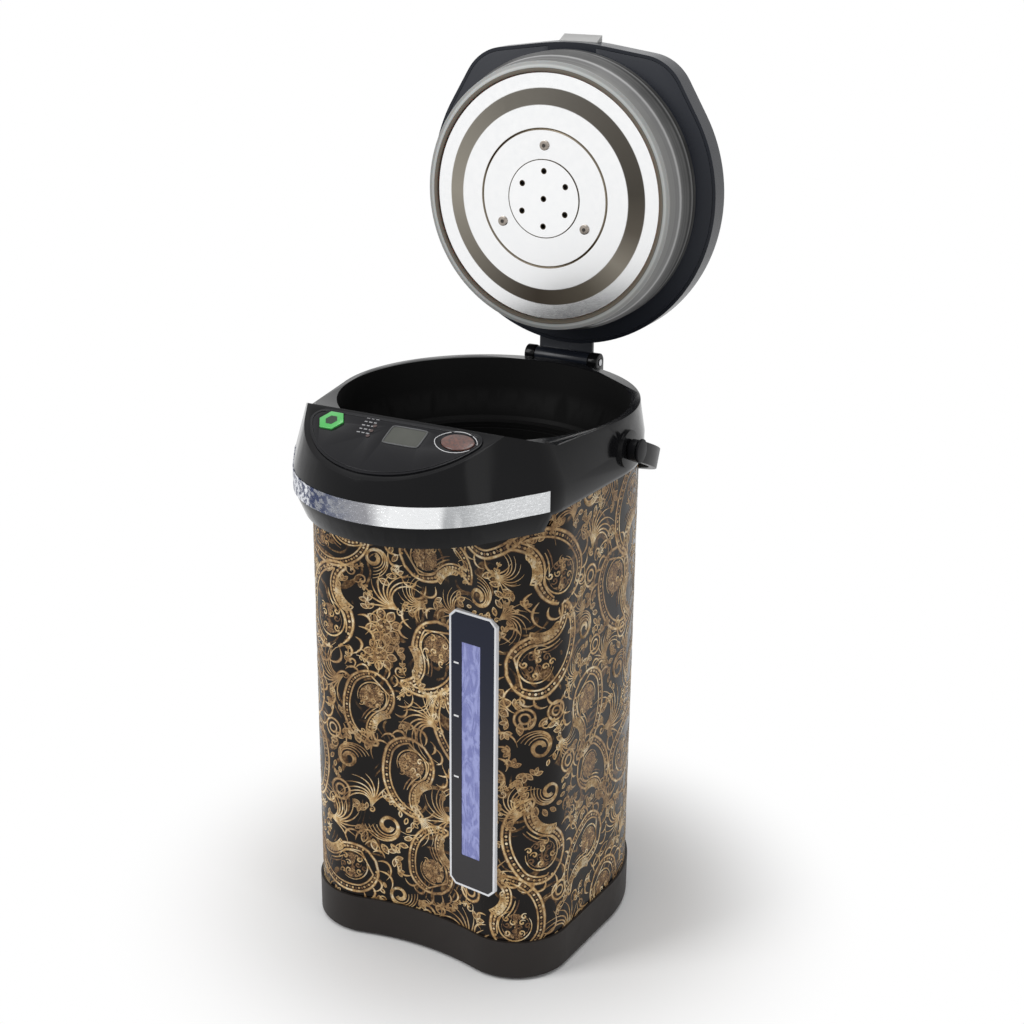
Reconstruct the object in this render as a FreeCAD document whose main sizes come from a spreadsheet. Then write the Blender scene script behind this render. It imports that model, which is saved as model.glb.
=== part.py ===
import FreeCAD, Part
import math
import os

import Sketcher
from FreeCAD import Placement, Rotation, Vector

# Electric thermo pot, shown with its lid open.
# Millimetres, Z up, front towards -Y. The origin is on the tank's axis, on the floor.

doc = FreeCAD.newDocument("thermo_pot")
sheet = doc.addObject("Spreadsheet::Sheet", "Sizes")

# Driving dimensions: name, value in millimetres or degrees.
DIMENSIONS = [
    ("foot_radius", "9"),
    ("foot_stand", "1.5"),
    ("foot_depth", "3.5"),
    ("base_top", "32"),
    ("base_wall", "2.5"),
    ("back_radius", "108"),
    ("back_shift", "15"),
    ("corner_radius", "44"),
    ("corner_x", "60"),
    ("corner_y", "-58"),
    ("front_hollow_y", "-94"),
    ("sleeve_inset", "2"),
    ("sleeve_wall", "0.8"),
    ("sleeve_top", "369"),
    ("sleeve_notch_z", "352"),
    ("sleeve_lap", "4"),
    ("cover_thick", "2.5"),
    ("cover_height", "6"),
    ("tank_radius", "88"),
    ("tank_wall", "1"),
    ("tank_floor_z", "50"),
    ("tank_round", "12"),
    ("tank_flange", "6"),
    ("seal_thick", "2"),
    ("ledge_z", "360"),
    ("ledge_thick", "2.5"),
    ("ledge_radius", "97"),
    ("mouth_radius", "105"),
    ("mouth_wall", "2.2"),
    ("mouth_cone_top", "385"),
    ("rim_z", "407"),
    ("rim_radius", "112"),
    ("head_back_radius", "109.5"),
    ("head_corner_radius", "50"),
    ("head_corner_x", "54"),
    ("head_corner_y", "-72"),
    ("nose_radius", "92"),
    ("nose_y", "-79"),
    ("nose_bottom_z", "350"),
    ("nose_tuck", "7"),
    ("skirt_z", "363"),
    ("skirt_y", "-88"),
    ("head_wall", "2.5"),
    ("head_draft", "12"),
    ("shoulder_z", "381"),
    ("crown_z", "425"),
    ("console_y", "-111"),
    ("console_z", "420"),
    ("console_angle", "24"),
    ("console_back_angle", "20"),
    ("panel_half_width", "69"),
    ("panel_depth", "53"),
    ("panel_setback", "3"),
    ("panel_thick", "2.4"),
    ("panel_proud", "0.8"),
    ("panel_round", "9"),
    ("band_bottom_z", "366.5"),
    ("band_height", "14.5"),
    ("band_thick", "1"),
    ("band_end_y", "-92"),
    ("band_proud", "0.4"),
    ("button_gap", "0.35"),
    ("button_travel", "0.9"),
    ("button_proud", "0.9"),
    ("button_depth", "4.5"),
    ("stem_radius", "1.5"),
    ("stem_fit", "0.05"),
    ("green_x", "-48"),
    ("green_v", "-14"),
    ("green_size", "9.5"),
    ("dispense_x", "49"),
    ("dispense_v", "-14"),
    ("dispense_length", "24"),
    ("dispense_width", "15"),
    ("screen_x", "11"),
    ("screen_v", "-17"),
    ("screen_width", "27"),
    ("screen_height", "17"),
    ("lamp_x", "-15"),
    ("lamp_radius", "1.4"),
    ("lamp_pitch", "5"),
    ("board_thick", "1.6"),
    ("board_drop", "9"),
    ("lid_radius", "117.5"),
    ("hinge_y", "=lid_radius + 11.5"),
    ("hinge_z", "405"),
    ("hinge_pin_radius", "2.5"),
    ("hinge_fit", "0.05"),
    ("hinge_half_width", "31"),
    ("hinge_ear", "8"),
    ("hinge_barrel_radius", "6.5"),
    ("lid_open_angle", "90"),
    ("lid_gap", "1"),
    ("lid_corner_radius", "37"),
    ("lid_corner_x", "55"),
    ("lid_corner_y", "-65"),
    ("lid_front_radius", "200"),
    ("lid_front_y", "-108"),
    ("lid_height", "24"),
    ("lid_wall", "2.5"),
    ("lid_crown", "7"),
    ("plug_radius", "103.2"),
    ("plug_wall", "2"),
    ("plug_step_z", "391"),
    ("plug_bottom_z", "372"),
    ("plug_bottom_radius", "96"),
    ("plate_radius", "91"),
    ("plate_thick", "0.8"),
    ("plate_face_z", "369.3"),
    ("vent_hole_radius", "1.6"),
    ("vent_ring_radius", "20.3"),
    ("vent_disc_radius", "29"),
    ("vent_disc_proud", "0.5"),
    ("plate_screw_ring", "38.8"),
    ("plate_screw_radius", "2"),
    ("plate_screw_head", "3.6"),
    ("gasket_thick", "2.4"),
    ("latch_half_width", "15.5"),
    ("latch_length", "14"),
    ("latch_thick", "3"),
    ("latch_lip", "7"),
    ("latch_barrel", "3.2"),
    ("latch_pin_radius", "1.5"),
    ("latch_gap", "0.5"),
    ("pivot_y", "8"),
    ("pivot_z", "383"),
    ("pivot_radius", "6"),
    ("pivot_fit", "0.05"),
    ("pad_radius", "13.5"),
    ("bail_inner", "113"),
    ("bail_thick", "5.5"),
    ("bail_height", "15"),
    ("bail_run", "16"),
    ("bail_drop_angle", "23"),
    ("gauge_x", "47"),
    ("gauge_width", "40"),
    ("gauge_bottom_z", "68"),
    ("gauge_length", "217"),
    ("gauge_thick", "2"),
    ("gauge_cut", "5"),
    ("window_x", "45.5"),
    ("window_width", "16"),
    ("window_length", "168"),
    ("window_rise", "26"),
    ("tube_x", "48"),
    ("tube_y", "-92"),
    ("tube_radius", "3.5"),
    ("tube_wall", "1"),
    ("tube_bottom_z", "56"),
    ("tube_top_z", "340"),
    ("spout_y", "-138"),
    ("spout_radius", "8"),
    ("spout_drop", "5"),
    ("pump_x", "30"),
    ("pump_y", "-38"),
    ("pump_radius", "20"),
    ("pump_height", "16"),
    ("pump_wall", "2"),
    ("motor_radius", "13"),
    ("motor_height", "15"),
    ("shaft_radius", "1.5"),
    ("shaft_fit", "0.05"),
    ("pipe_radius", "4.5"),
    ("pipe_wall", "1.2"),
    ("heater_radius", "38"),
    ("heater_thick", "6"),
    ("heater_y", "28"),
    ("thermostat_radius", "9"),
    ("thermostat_height", "7"),
    ("inlet_z", "18.5"),
    ("inlet_half_width", "14"),
    ("inlet_half_height", "7"),
    ("inlet_depth", "18"),
    ("inlet_proud", "1.5"),
    ("inlet_wall", "1.5"),
    ("pin_radius", "2.2"),
    ("pin_pitch", "13"),
    ("screw_radius", "2"),
    ("screw_head_radius", "4"),
    ("screw_length", "14"),
    ("board_length", "108"),
    ("board_width", "20"),
]

for line, (alias, value) in enumerate(DIMENSIONS, start=1):
    sheet.set("A%d" % line, alias)
    sheet.set("B%d" % line, value)
    sheet.setAlias("B%d" % line, alias)
doc.recompute()


def size(alias):
    """The number that the sheet holds under this name."""
    return float(getattr(sheet, alias))


def value_of(expression):
    """The number that an expression on the sheet comes to."""
    return float(sheet.evalExpression(expression))


NODES = []


def node(thing, name):
    """Give a finished sub-part its name, and keep it for the export."""
    thing.Label = name
    NODES.append(thing)
    return thing


def bind(thing, **expressions):
    """Tie an object's properties to the sheet. Place_x, Place_y and Place_z move it."""
    for prop, expression in expressions.items():
        path = prop.replace("Place_", ".Placement.Base.") if prop.startswith("Place_") else prop
        thing.setExpression(path, str(expression))
    return thing


def cylinder(name, radius, height, x="0", y="0", z="0"):
    """An upright cylinder on (x, y, z)."""
    made = doc.addObject("Part::Cylinder", name)
    return bind(made, Radius=radius, Height=height, Place_x=x, Place_y=y, Place_z=z)


def cross_pin(name, radius, half_length, y, z):
    """A cylinder along X, centred on the middle plane."""
    made = doc.addObject("Part::Cylinder", name)
    made.Placement = Placement(Vector(0, 0, 0), Rotation(Vector(0, 1, 0), 90))
    bind(made, Radius=radius, Height="2 * (%s)" % half_length)
    return bind(made, Place_x="-(%s)" % half_length, Place_y=y, Place_z=z)


def block(name, length, width, height, x, y, z):
    """A box whose lowest corner is (x, y, z)."""
    made = doc.addObject("Part::Box", name)
    bind(made, Length=length, Width=width, Height=height)
    return bind(made, Place_x=x, Place_y=y, Place_z=z)


def fused(name, pieces):
    made = doc.addObject("Part::MultiFuse", name)
    made.Shapes = pieces
    return made


def cut_from(name, base, tool):
    made = doc.addObject("Part::Cut", name)
    made.Base = base
    made.Tool = tool
    return made


def solid(name, shape):
    """A sub-part whose outline of tangent arcs only Part's own functions can make."""
    made = doc.addObject("Part::Feature", name)
    made.Shape = shape.removeSplitter()
    return made


def origin_plane(body, role):
    return [feature for feature in body.Origin.OriginFeatures if feature.Role == role][0]


def polygon_sketch(body, role, corners):
    """A closed sketch whose corners are pairs of expressions on the sheet."""
    sketch = body.newObject("Sketcher::SketchObject", body.Name + "_outline")
    sketch.AttachmentSupport = [(origin_plane(body, role), "")]
    sketch.MapMode = "FlatFace"
    places = [Vector(value_of(across), value_of(up), 0) for across, up in corners]
    count = len(corners)
    for index in range(count):
        sketch.addGeometry(Part.LineSegment(places[index], places[(index + 1) % count]), False)
    for index in range(count):
        sketch.addConstraint(Sketcher.Constraint("Coincident", index, 2, (index + 1) % count, 1))
    for index, (across, up) in enumerate(corners):
        for kind, expression in (("DistanceX", across), ("DistanceY", up)):
            measure = getattr(places[index], "x" if kind == "DistanceX" else "y")
            added = sketch.addConstraint(Sketcher.Constraint(kind, -1, 1, index, 1, measure))
            sketch.setExpression("Constraints[%d]" % added, expression)
    return sketch


def turned(name, corners):
    """A body turned about Z from a half section of (radius, height) expressions."""
    body = doc.addObject("PartDesign::Body", name)
    sketch = polygon_sketch(body, "XZ_Plane", corners)
    turn = body.newObject("PartDesign::Revolution", name + "_turn")
    turn.Profile = sketch
    turn.ReferenceAxis = (sketch, ["V_Axis"])
    turn.Angle = 360
    return body


def tangent_normals(circles):
    """Outward normals, in radians, of the lines that touch each circle and the next one."""
    normals = []
    for index, (x, y, r) in enumerate(circles):
        x2, y2, r2 = circles[(index + 1) % len(circles)]
        gap = math.hypot(x2 - x, y2 - y)
        normals.append(math.atan2(y2 - y, x2 - x) - math.acos((r - r2) / gap))
    return normals


def on_circle(circle, angle, z):
    x, y, r = circle
    return Vector(x + r * math.cos(angle), y + r * math.sin(angle), z)


def arc_about(circle, start, end, z):
    """An arc on a circle, counter-clockwise from one angle to another."""
    while end < start:
        end += 2 * math.pi
    middle = (start + end) / 2
    ends = [on_circle(circle, angle, z) for angle in (start, middle, end)]
    return Part.Arc(ends[0], ends[1], ends[2]).toShape()


def band_wire(circles, z):
    """The line of a belt round some circles, which are listed counter-clockwise."""
    normals = tangent_normals(circles)
    edges = []
    for index, circle in enumerate(circles):
        following = circles[(index + 1) % len(circles)]
        edges.append(arc_about(circle, normals[index - 1], normals[index], z))
        start = on_circle(circle, normals[index], z)
        end = on_circle(following, normals[index], z)
        edges.append(Part.LineSegment(start, end).toShape())
    return Part.Wire(edges)


def prism(wire, height):
    return Part.Face(wire).extrude(Vector(0, 0, height))


def lofted(low, high):
    return Part.makeLoft([low, high], True, True)


def body_wire(inset, z):
    """The pot's plan: round back, straight sides, round corners and a hollow front."""
    right = (size("corner_x"), size("corner_y"), size("corner_radius") - inset)
    left = (-right[0], right[1], right[2])
    back = (0, size("back_shift"), size("back_radius") - inset)
    hollow = size("front_hollow_y") + inset
    rise = right[1] - hollow
    front_radius = (right[0] ** 2 + rise ** 2 - right[2] ** 2) / (2 * (right[2] - rise))
    front = (0, hollow - front_radius, front_radius)
    lean = math.atan2(front[1] - right[1], -right[0])
    side = tangent_normals([right, back, left])
    front_turn = math.atan2(right[1] - front[1], right[0])
    edges = [
        arc_about(right, lean, side[0], z),
        Part.LineSegment(on_circle(right, side[0], z), on_circle(back, side[0], z)).toShape(),
        arc_about(back, side[0], side[1], z),
        Part.LineSegment(on_circle(back, side[1], z), on_circle(left, side[1], z)).toShape(),
        arc_about(left, side[1], -math.pi - lean, z),
        arc_about(front, front_turn, math.pi - front_turn, z),
    ]
    return Part.Wire(Part.__sortEdges__(edges))


def head_wire(inset, z, top=0.0):
    """The head's plan. top is 0 up to the shoulder and 1 at the crown, where it draws in."""
    draft = size("head_draft") * top + inset
    back_shift = size("back_shift") * (1 - top) - 3 * top
    rim_growth = (size("rim_radius") - 1 - size("head_back_radius")) * top
    corner = (size("head_corner_x"), size("head_corner_y"), size("head_corner_radius") - draft)
    nose = (0, size("nose_y"), size("nose_radius") - draft)
    back = (0, back_shift, size("head_back_radius") + rim_growth - inset)
    return band_wire([nose, corner, back, (-corner[0], corner[1], corner[2])], z)


def rounded(shape, radius, chosen):
    """Round the edges that the test picks."""
    edges = [edge for edge in shape.Edges if chosen(edge)]
    return shape.makeFillet(radius, edges) if edges else shape


def flat_at(z):
    """A test for edges that lie all over at one height."""
    def test(edge):
        bounds = edge.BoundBox
        return abs(bounds.ZMin - z) < 0.01 and abs(bounds.ZMax - z) < 0.01
    return test


FAR = 400.0


# Base: the moulded ring, the cover under it, its feet, screws and the mains inlet.
base_low = size("foot_stand")
base_height = size("base_top") - base_low
base_outer = prism(body_wire(0, base_low), base_height)
base_outer = rounded(base_outer, 2.0, flat_at(base_low))
base_hollow = prism(body_wire(size("base_wall"), base_low), base_height)
sleeve_seat = prism(body_wire(size("sleeve_inset"), size("base_top") - size("sleeve_lap")), FAR)
inlet_wide = size("inlet_half_width") + size("inlet_wall")
inlet_tall = size("inlet_half_height") + size("inlet_wall")
back_y = size("back_shift") + size("back_radius")
inlet_cut = Part.makeBox(2 * inlet_wide, 30, 2 * inlet_tall,
                         Vector(-inlet_wide, back_y - 20, size("inlet_z") - inlet_tall))
base_shape = base_outer.cut([base_hollow, sleeve_seat, inlet_cut])
node(solid("base", base_shape), "base_ring")

foot_places = [(0, 0)] + [(side * 62, y) for side in (-1, 1) for y in (-55, 72)]
screw_places = [(side * 80, y) for side in (-1, 1) for y in (-30, 50)]
cover_low = size("cover_height")
cover_shape = prism(body_wire(size("base_wall"), cover_low), size("cover_thick"))
for x, y in screw_places:
    cover_shape = cover_shape.cut(Part.makeCylinder(size("screw_radius"), 20, Vector(x, y, 0)))
slot_count = 6
for index in range(slot_count):
    slot_x = (index - (slot_count - 1) / 2) * 9
    cover_shape = cover_shape.cut(Part.makeBox(4, 40, 20, Vector(slot_x - 2, 20, 0)))
node(solid("cover", cover_shape), "bottom_cover")

feet = []
for index, (x, y) in enumerate(foot_places):
    feet.append(cylinder("foot_%d" % index, "Sizes.foot_radius", "Sizes.cover_height", x, y))
node(fused("feet_group", feet), "feet")

screws = []
for index, (x, y) in enumerate(screw_places):
    shank = cylinder("screw_shank_%d" % index, "Sizes.screw_radius - 0.2", "Sizes.screw_length", x, y,
                     "Sizes.cover_height")
    head = cylinder("screw_head_%d" % index, "Sizes.screw_head_radius", "2", x, y,
                    "Sizes.cover_height - 2")
    screws += [shank, head]
node(fused("screw_group", screws), "base_screws")

bosses = []
for index, (x, y) in enumerate(screw_places):
    outer = cylinder("boss_%d" % index, "Sizes.screw_radius + 3", "Sizes.screw_length + 2", x, y,
                     "Sizes.cover_height + Sizes.cover_thick")
    bosses.append(outer)
boss_holes = []
for index, (x, y) in enumerate(screw_places):
    boss_holes.append(cylinder("boss_hole_%d" % index, "Sizes.screw_radius - 0.2", "40", x, y))
tray = block("tray", "176", "120", "2", "-88", "-50",
             "Sizes.cover_height + Sizes.cover_thick + Sizes.screw_length")
tray_solid = fused("tray_solid", bosses + [tray])
boss_holes.append(cylinder("motor_hole", "Sizes.motor_radius", "60", "Sizes.pump_x", "Sizes.pump_y"))
node(cut_from("tray_drilled", tray_solid, fused("tray_holes", boss_holes)), "base_tray")
tray_top = "Sizes.cover_height + Sizes.cover_thick + Sizes.screw_length + 2"

# Mains inlet: an open box at the back of the base, with three flat-ended pins.
inlet_deep = size("inlet_depth")
inlet_box = Part.makeBox(2 * inlet_wide, inlet_deep, 2 * inlet_tall,
                         Vector(-inlet_wide, back_y + size("inlet_proud") - inlet_deep,
                                size("inlet_z") - inlet_tall))
inlet_room = Part.makeBox(2 * size("inlet_half_width"), inlet_deep, 2 * size("inlet_half_height"),
                          Vector(-size("inlet_half_width"),
                                 back_y + size("inlet_proud") - inlet_deep + size("inlet_wall"),
                                 size("inlet_z") - size("inlet_half_height")))
node(solid("inlet", inlet_box.cut(inlet_room)), "mains_inlet")
pins = []
for index in (-1, 0, 1):
    pin_foot = Vector(index * size("pin_pitch") * 0.6,
                      back_y + size("inlet_proud") - inlet_deep + size("inlet_wall"),
                      size("inlet_z") - 3)
    pins.append(Part.makeCylinder(size("pin_radius"), inlet_deep * 0.6, pin_foot, Vector(0, 1, 0)))
node(solid("pins", Part.makeCompound(pins)), "inlet_pins")

# Power board on the tray, behind the pump.
node(block("power_board_plate", "70", "38", "Sizes.board_thick", "-78", "-8", tray_top), "power_board")

# Pump: housing with its neck, motor below the tray, impeller and shaft inside.
pump_x = size("pump_x")
pump_y = size("pump_y")
housing = cylinder("housing_outer", "Sizes.pump_radius", "Sizes.pump_height", "Sizes.pump_x",
                   "Sizes.pump_y", tray_top)
neck = cylinder("housing_neck", "Sizes.pipe_radius",
                "Sizes.tank_floor_z - (%s) - Sizes.pump_height" % tray_top,
                "Sizes.pump_x", "Sizes.pump_y", "%s + Sizes.pump_height" % tray_top)
room = cylinder("housing_room", "Sizes.pump_radius - Sizes.pump_wall",
                "Sizes.pump_height - 2 * Sizes.pump_wall", "Sizes.pump_x", "Sizes.pump_y",
                "%s + Sizes.pump_wall" % tray_top)
throat = cylinder("housing_throat", "Sizes.pipe_radius - Sizes.pipe_wall", "30", "Sizes.pump_x",
                  "Sizes.pump_y", "%s + Sizes.pump_height / 2" % tray_top)
seat = cylinder("housing_seat", "Sizes.shaft_radius + Sizes.shaft_fit", "20", "Sizes.pump_x",
                "Sizes.pump_y", "Sizes.cover_height + Sizes.cover_thick")
housing_solid = fused("housing_solid", [housing, neck])
housing_voids = fused("housing_voids", [room, throat, seat])
housing_cut = cut_from("housing_cut", housing_solid, housing_voids)

motor = cylinder("motor_can", "Sizes.motor_radius", "Sizes.motor_height", "Sizes.pump_x",
                 "Sizes.pump_y", "%s - Sizes.motor_height" % tray_top)
motor_bore = cylinder("motor_bore", "Sizes.shaft_radius + Sizes.shaft_fit", "60", "Sizes.pump_x",
                      "Sizes.pump_y")
node(cut_from("motor", motor, motor_bore), "pump_motor")

shaft = cylinder("shaft", "Sizes.shaft_radius", "Sizes.motor_height - 2 + Sizes.pump_wall + 4",
                 "Sizes.pump_x", "Sizes.pump_y", "%s - Sizes.motor_height + 2" % tray_top)
disc = cylinder("impeller_disc", "Sizes.pump_radius - Sizes.pump_wall - 3", "1.5", "Sizes.pump_x",
                "Sizes.pump_y", "%s + Sizes.pump_wall + 1.5" % tray_top)
blades = []
for index in range(6):
    blade = block("blade_%d" % index, "Sizes.pump_radius - Sizes.pump_wall - 8", "1.2", "4",
                  "Sizes.pump_x", "Sizes.pump_y", "%s + Sizes.pump_wall + 3" % tray_top)
    blade.Placement = Placement(blade.Placement.Base, Rotation(Vector(0, 0, 1), index * 60))
    blades.append(blade)
node(fused("impeller", [shaft, disc] + blades), "pump_impeller")

# Tank: a drawn steel cup whose flange hangs under the head's ledge, on a silicone seal.
flange_top = "Sizes.ledge_z - Sizes.ledge_thick - Sizes.seal_thick"
tank_outer = "Sizes.tank_radius + Sizes.tank_wall"
tank = turned("tank", [
    ("0", "Sizes.tank_floor_z"),
    ("%s - Sizes.tank_round" % tank_outer, "Sizes.tank_floor_z"),
    (tank_outer, "Sizes.tank_floor_z + Sizes.tank_round"),
    (tank_outer, "%s - Sizes.tank_wall" % flange_top),
    ("%s + Sizes.tank_flange" % tank_outer, "%s - Sizes.tank_wall" % flange_top),
    ("%s + Sizes.tank_flange" % tank_outer, flange_top),
    ("Sizes.tank_radius", flange_top),
    ("Sizes.tank_radius", "Sizes.tank_floor_z + Sizes.tank_round + 0.4 * Sizes.tank_wall"),
    ("Sizes.tank_radius - Sizes.tank_round + 0.4 * Sizes.tank_wall",
     "Sizes.tank_floor_z + Sizes.tank_wall"),
    ("0", "Sizes.tank_floor_z + Sizes.tank_wall"),
])
outlet = cylinder("tank_outlet", "Sizes.pipe_radius - Sizes.pipe_wall", "40", "Sizes.pump_x",
                  "Sizes.pump_y", "Sizes.tank_floor_z - 5")
node(cut_from("tank_drilled", tank, outlet), "inner_tank")
node(turned("seal", [
    (tank_outer, flange_top),
    ("%s + Sizes.tank_flange" % tank_outer, flange_top),
    ("%s + Sizes.tank_flange" % tank_outer, "%s + Sizes.seal_thick" % flange_top),
    (tank_outer, "%s + Sizes.seal_thick" % flange_top),
]), "tank_seal")

# Heater and cut-out thermostat, clamped under the tank's floor.
node(cylinder("heater", "Sizes.heater_radius", "Sizes.heater_thick", "0", "Sizes.heater_y",
              "Sizes.tank_floor_z - Sizes.heater_thick"), "heater_plate")
node(cylinder("thermostat_can", "Sizes.thermostat_radius", "Sizes.thermostat_height", "0",
              "Sizes.heater_y",
              "Sizes.tank_floor_z - Sizes.heater_thick - Sizes.thermostat_height"), "thermostat")

# Four pillars on the tray carry the tank's floor.
pillars = []
for index, angle in enumerate((40, 140, 215, 350)):
    reach = 62
    pillars.append(cylinder("pillar_%d" % index, "5", "Sizes.tank_floor_z - (%s)" % tray_top,
                            reach * math.cos(math.radians(angle)),
                            reach * math.sin(math.radians(angle)), tray_top))
node(fused("pillar_group", pillars), "tank_pillars")

# Sleeve: the printed sheet round the tank, notched at the front to pass into the nose.
sleeve_low = size("base_top") - size("sleeve_lap")
inset = size("sleeve_inset")
sleeve_outer = prism(body_wire(inset, sleeve_low), size("sleeve_top") - sleeve_low)
sleeve_inner = prism(body_wire(inset + size("sleeve_wall"), sleeve_low), FAR)
notch_y = size("skirt_y") + 10
notch = Part.makeBox(FAR, FAR, FAR, Vector(-FAR / 2, notch_y - FAR, size("sleeve_notch_z")))
window_slot = Part.makeBox(size("window_width") - 4, 40, size("window_length") - 4,
                           Vector(size("window_x") - size("window_width") / 2 + 2,
                                  size("front_hollow_y") - 25,
                                  size("gauge_bottom_z") + size("window_rise") + 2))
node(solid("sleeve", sleeve_outer.cut([sleeve_inner, notch, window_slot])), "outer_sleeve")


# Head: one moulding with the nose, the round mouth and the skirt over the sleeve.
def top_profile(drop):
    """What lies above the head: the sloped console, the ridge behind it and the level rim."""
    slope = math.tan(math.radians(size("console_angle")))
    back_slope = math.tan(math.radians(size("console_back_angle")))
    ridge_y = size("console_y")
    ridge_z = size("console_z") - drop
    rim_z = size("rim_z") - drop
    foot_y = ridge_y + (ridge_z - rim_z) / back_slope
    corners = [(-FAR, ridge_z - (FAR + ridge_y) * slope), (ridge_y, ridge_z), (foot_y, rim_z),
               (FAR, rim_z), (FAR, 2 * FAR), (-FAR, 2 * FAR)]
    points = [Vector(-FAR / 2, y, z) for y, z in corners]
    return Part.Face(Part.makePolygon(points + points[:1])).extrude(Vector(FAR, 0, 0))


def head_block(inset, low):
    """The head's outside, or its inside when it is inset."""
    tuck = lofted(head_wire(size("nose_tuck") + inset, low), head_wire(inset, size("band_bottom_z")))
    waist = prism(head_wire(inset, size("band_bottom_z")), size("shoulder_z") - size("band_bottom_z"))
    crown = lofted(head_wire(inset, size("shoulder_z")), head_wire(inset, size("crown_z"), 1.0))
    return tuck.fuse([waist, crown])


def mouth(outset, low):
    """The round mouth, widening upwards, as a solid plug."""
    points = [(0, low), (size("ledge_radius") + outset, low),
              (size("ledge_radius") + outset, size("ledge_z")),
              (size("mouth_radius") + outset, size("mouth_cone_top")),
              (size("mouth_radius") + outset, 2 * FAR), (0, 2 * FAR)]
    wire = Part.makePolygon([Vector(r, 0, z) for r, z in points + points[:1]])
    return Part.Face(wire).revolve(Vector(0, 0, 0), Vector(0, 0, 1), 360)


def lid_plan(inset, z):
    """The lid's plan when it is closed: round at the back, with two front corners."""
    right = (size("lid_corner_x"), size("lid_corner_y"), size("lid_corner_radius") - inset)
    left = (-right[0], right[1], right[2])
    back = (0, 0, size("lid_radius") - inset)
    radius = size("lid_front_radius") - inset
    front = (0, size("lid_front_y") + size("lid_front_radius"), radius)
    return band_wire([front, right, back, left], z)


console = Placement(Vector(0, size("console_y"), size("console_z")),
                    Rotation(Vector(1, 0, 0), size("console_angle")))


def on_console(shape):
    """Set a shape, drawn flat with its back edge at y 0, on the sloped console."""
    placed = shape.copy()
    placed.Placement = console.multiply(placed.Placement)
    return placed


def panel_block(outset, low, high):
    """The panel's D, with rounded back corners, between two heights over the console."""
    half = size("panel_half_width") + outset
    depth = size("panel_depth") + 2 * outset
    radius = (half ** 2 + depth ** 2) / (2 * depth)
    back = -size("panel_setback") + outset
    disc_part = Part.makeCylinder(radius, high - low, Vector(0, back - depth + radius, low))
    slab = Part.makeBox(FAR, FAR, high - low, Vector(-FAR / 2, back - FAR, low))
    shape = disc_part.common(slab)
    corners = [edge for edge in shape.Edges
               if abs(edge.BoundBox.ZLength - (high - low)) < 0.01
               and abs(edge.BoundBox.YMax - back) < 0.01 and edge.BoundBox.XLength < 0.01]
    return shape.makeFillet(size("panel_round"), corners)


panel_low = size("panel_proud") - size("panel_thick")
wall = size("head_wall")
head_outer = head_block(0, size("nose_bottom_z"))
under_skirt = Part.makeBox(FAR, FAR, FAR, Vector(-FAR / 2, size("skirt_y"), size("skirt_z") - FAR))
head_room = head_block(wall, size("nose_bottom_z") + wall)
mouth_shell = mouth(size("mouth_wall"), size("ledge_z") - size("ledge_thick"))
lid_floor = prism(lid_plan(-1.6 - wall, size("rim_z") - wall), 100)
head_room = head_room.cut([top_profile(wall), mouth_shell, lid_floor])
mouth_cut = mouth(0, size("ledge_z"))
ledge_hole = Part.makeCylinder(size("tank_radius") + size("tank_wall") + 0.5, FAR)
sleeve_inside = prism(body_wire(inset + size("sleeve_wall") + 1.2, 0), 366).cut(mouth_shell)
ring_low = size("ledge_z") - size("ledge_thick")
ring_seat = Part.makeCylinder(size("ledge_radius") + size("mouth_wall"), size("skirt_z") - ring_low,
                              Vector(0, 0, ring_low))
grip = prism(body_wire(inset - 6, size("skirt_z")), size("sleeve_top") + 2 - size("skirt_z"))
grip_front = Part.makeBox(FAR, FAR, FAR, Vector(-FAR / 2, notch_y - FAR, 0))
grip = grip.common(head_outer).cut(
    [prism(body_wire(inset + size("sleeve_wall") + 1.2, 0), FAR), under_skirt, grip_front])
sleeve = NODES[-1].Shape
lid_pocket = prism(lid_plan(-1.6, size("rim_z")), 100)
band_recess = prism(head_wire(-2, size("band_bottom_z") - 0.1), size("band_height") + 0.2).cut(
    prism(head_wire(size("band_thick") - size("band_proud"), size("band_bottom_z") - 1), 30)).common(
    Part.makeBox(FAR, FAR, FAR, Vector(-FAR / 2, size("band_end_y") + 0.1 - FAR, 200)))
panel_seat = on_console(panel_block(0.15, panel_low, 40))
panel_well = on_console(panel_block(-2, panel_low - 12, 40))
pivot_pads = [Part.makeCylinder(size("pad_radius"), 5.5,
                                Vector(side * (size("head_back_radius") + 2) - (2.75 + side * 2.75),
                                       size("pivot_y"), size("pivot_z")), Vector(1, 0, 0))
              for side in (-1, 1)]
spout_hole = Part.makeCylinder(size("spout_radius"), 30,
                               Vector(0, size("spout_y"), size("nose_bottom_z") - 10))
head = head_outer.cut([under_skirt, head_room]).fuse(pivot_pads + [grip]).cut(
    [top_profile(0), mouth_cut, ledge_hole, sleeve_inside, sleeve, lid_pocket, band_recess,
     panel_seat, panel_well, spout_hole, ring_seat])
node(solid("head", head), "head_housing")

# Mouth ring: the ledge at the foot of the mouth, which presses the seal on the tank's flange.
ledge = mouth_shell.cut([mouth_cut, ledge_hole]).common(ring_seat)
node(solid("ledge", ledge), "mouth_ring")

# Chrome band round the nose.
band = prism(head_wire(-size("band_proud"), size("band_bottom_z")), size("band_height")).cut(
    prism(head_wire(size("band_thick") - size("band_proud"), size("band_bottom_z") - 1), 30)).common(
    Part.makeBox(FAR, FAR, FAR, Vector(-FAR / 2, size("band_end_y") - FAR, 200)))
node(solid("band", band), "chrome_band")


# Control panel with its buttons, screen and lamps.
def hexagon(radius, low, high):
    points = [Vector(radius * math.cos(math.radians(60 * k)), radius * math.sin(math.radians(60 * k)),
                     low) for k in range(7)]
    return Part.Face(Part.makePolygon(points)).extrude(Vector(0, 0, high - low))


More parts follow.
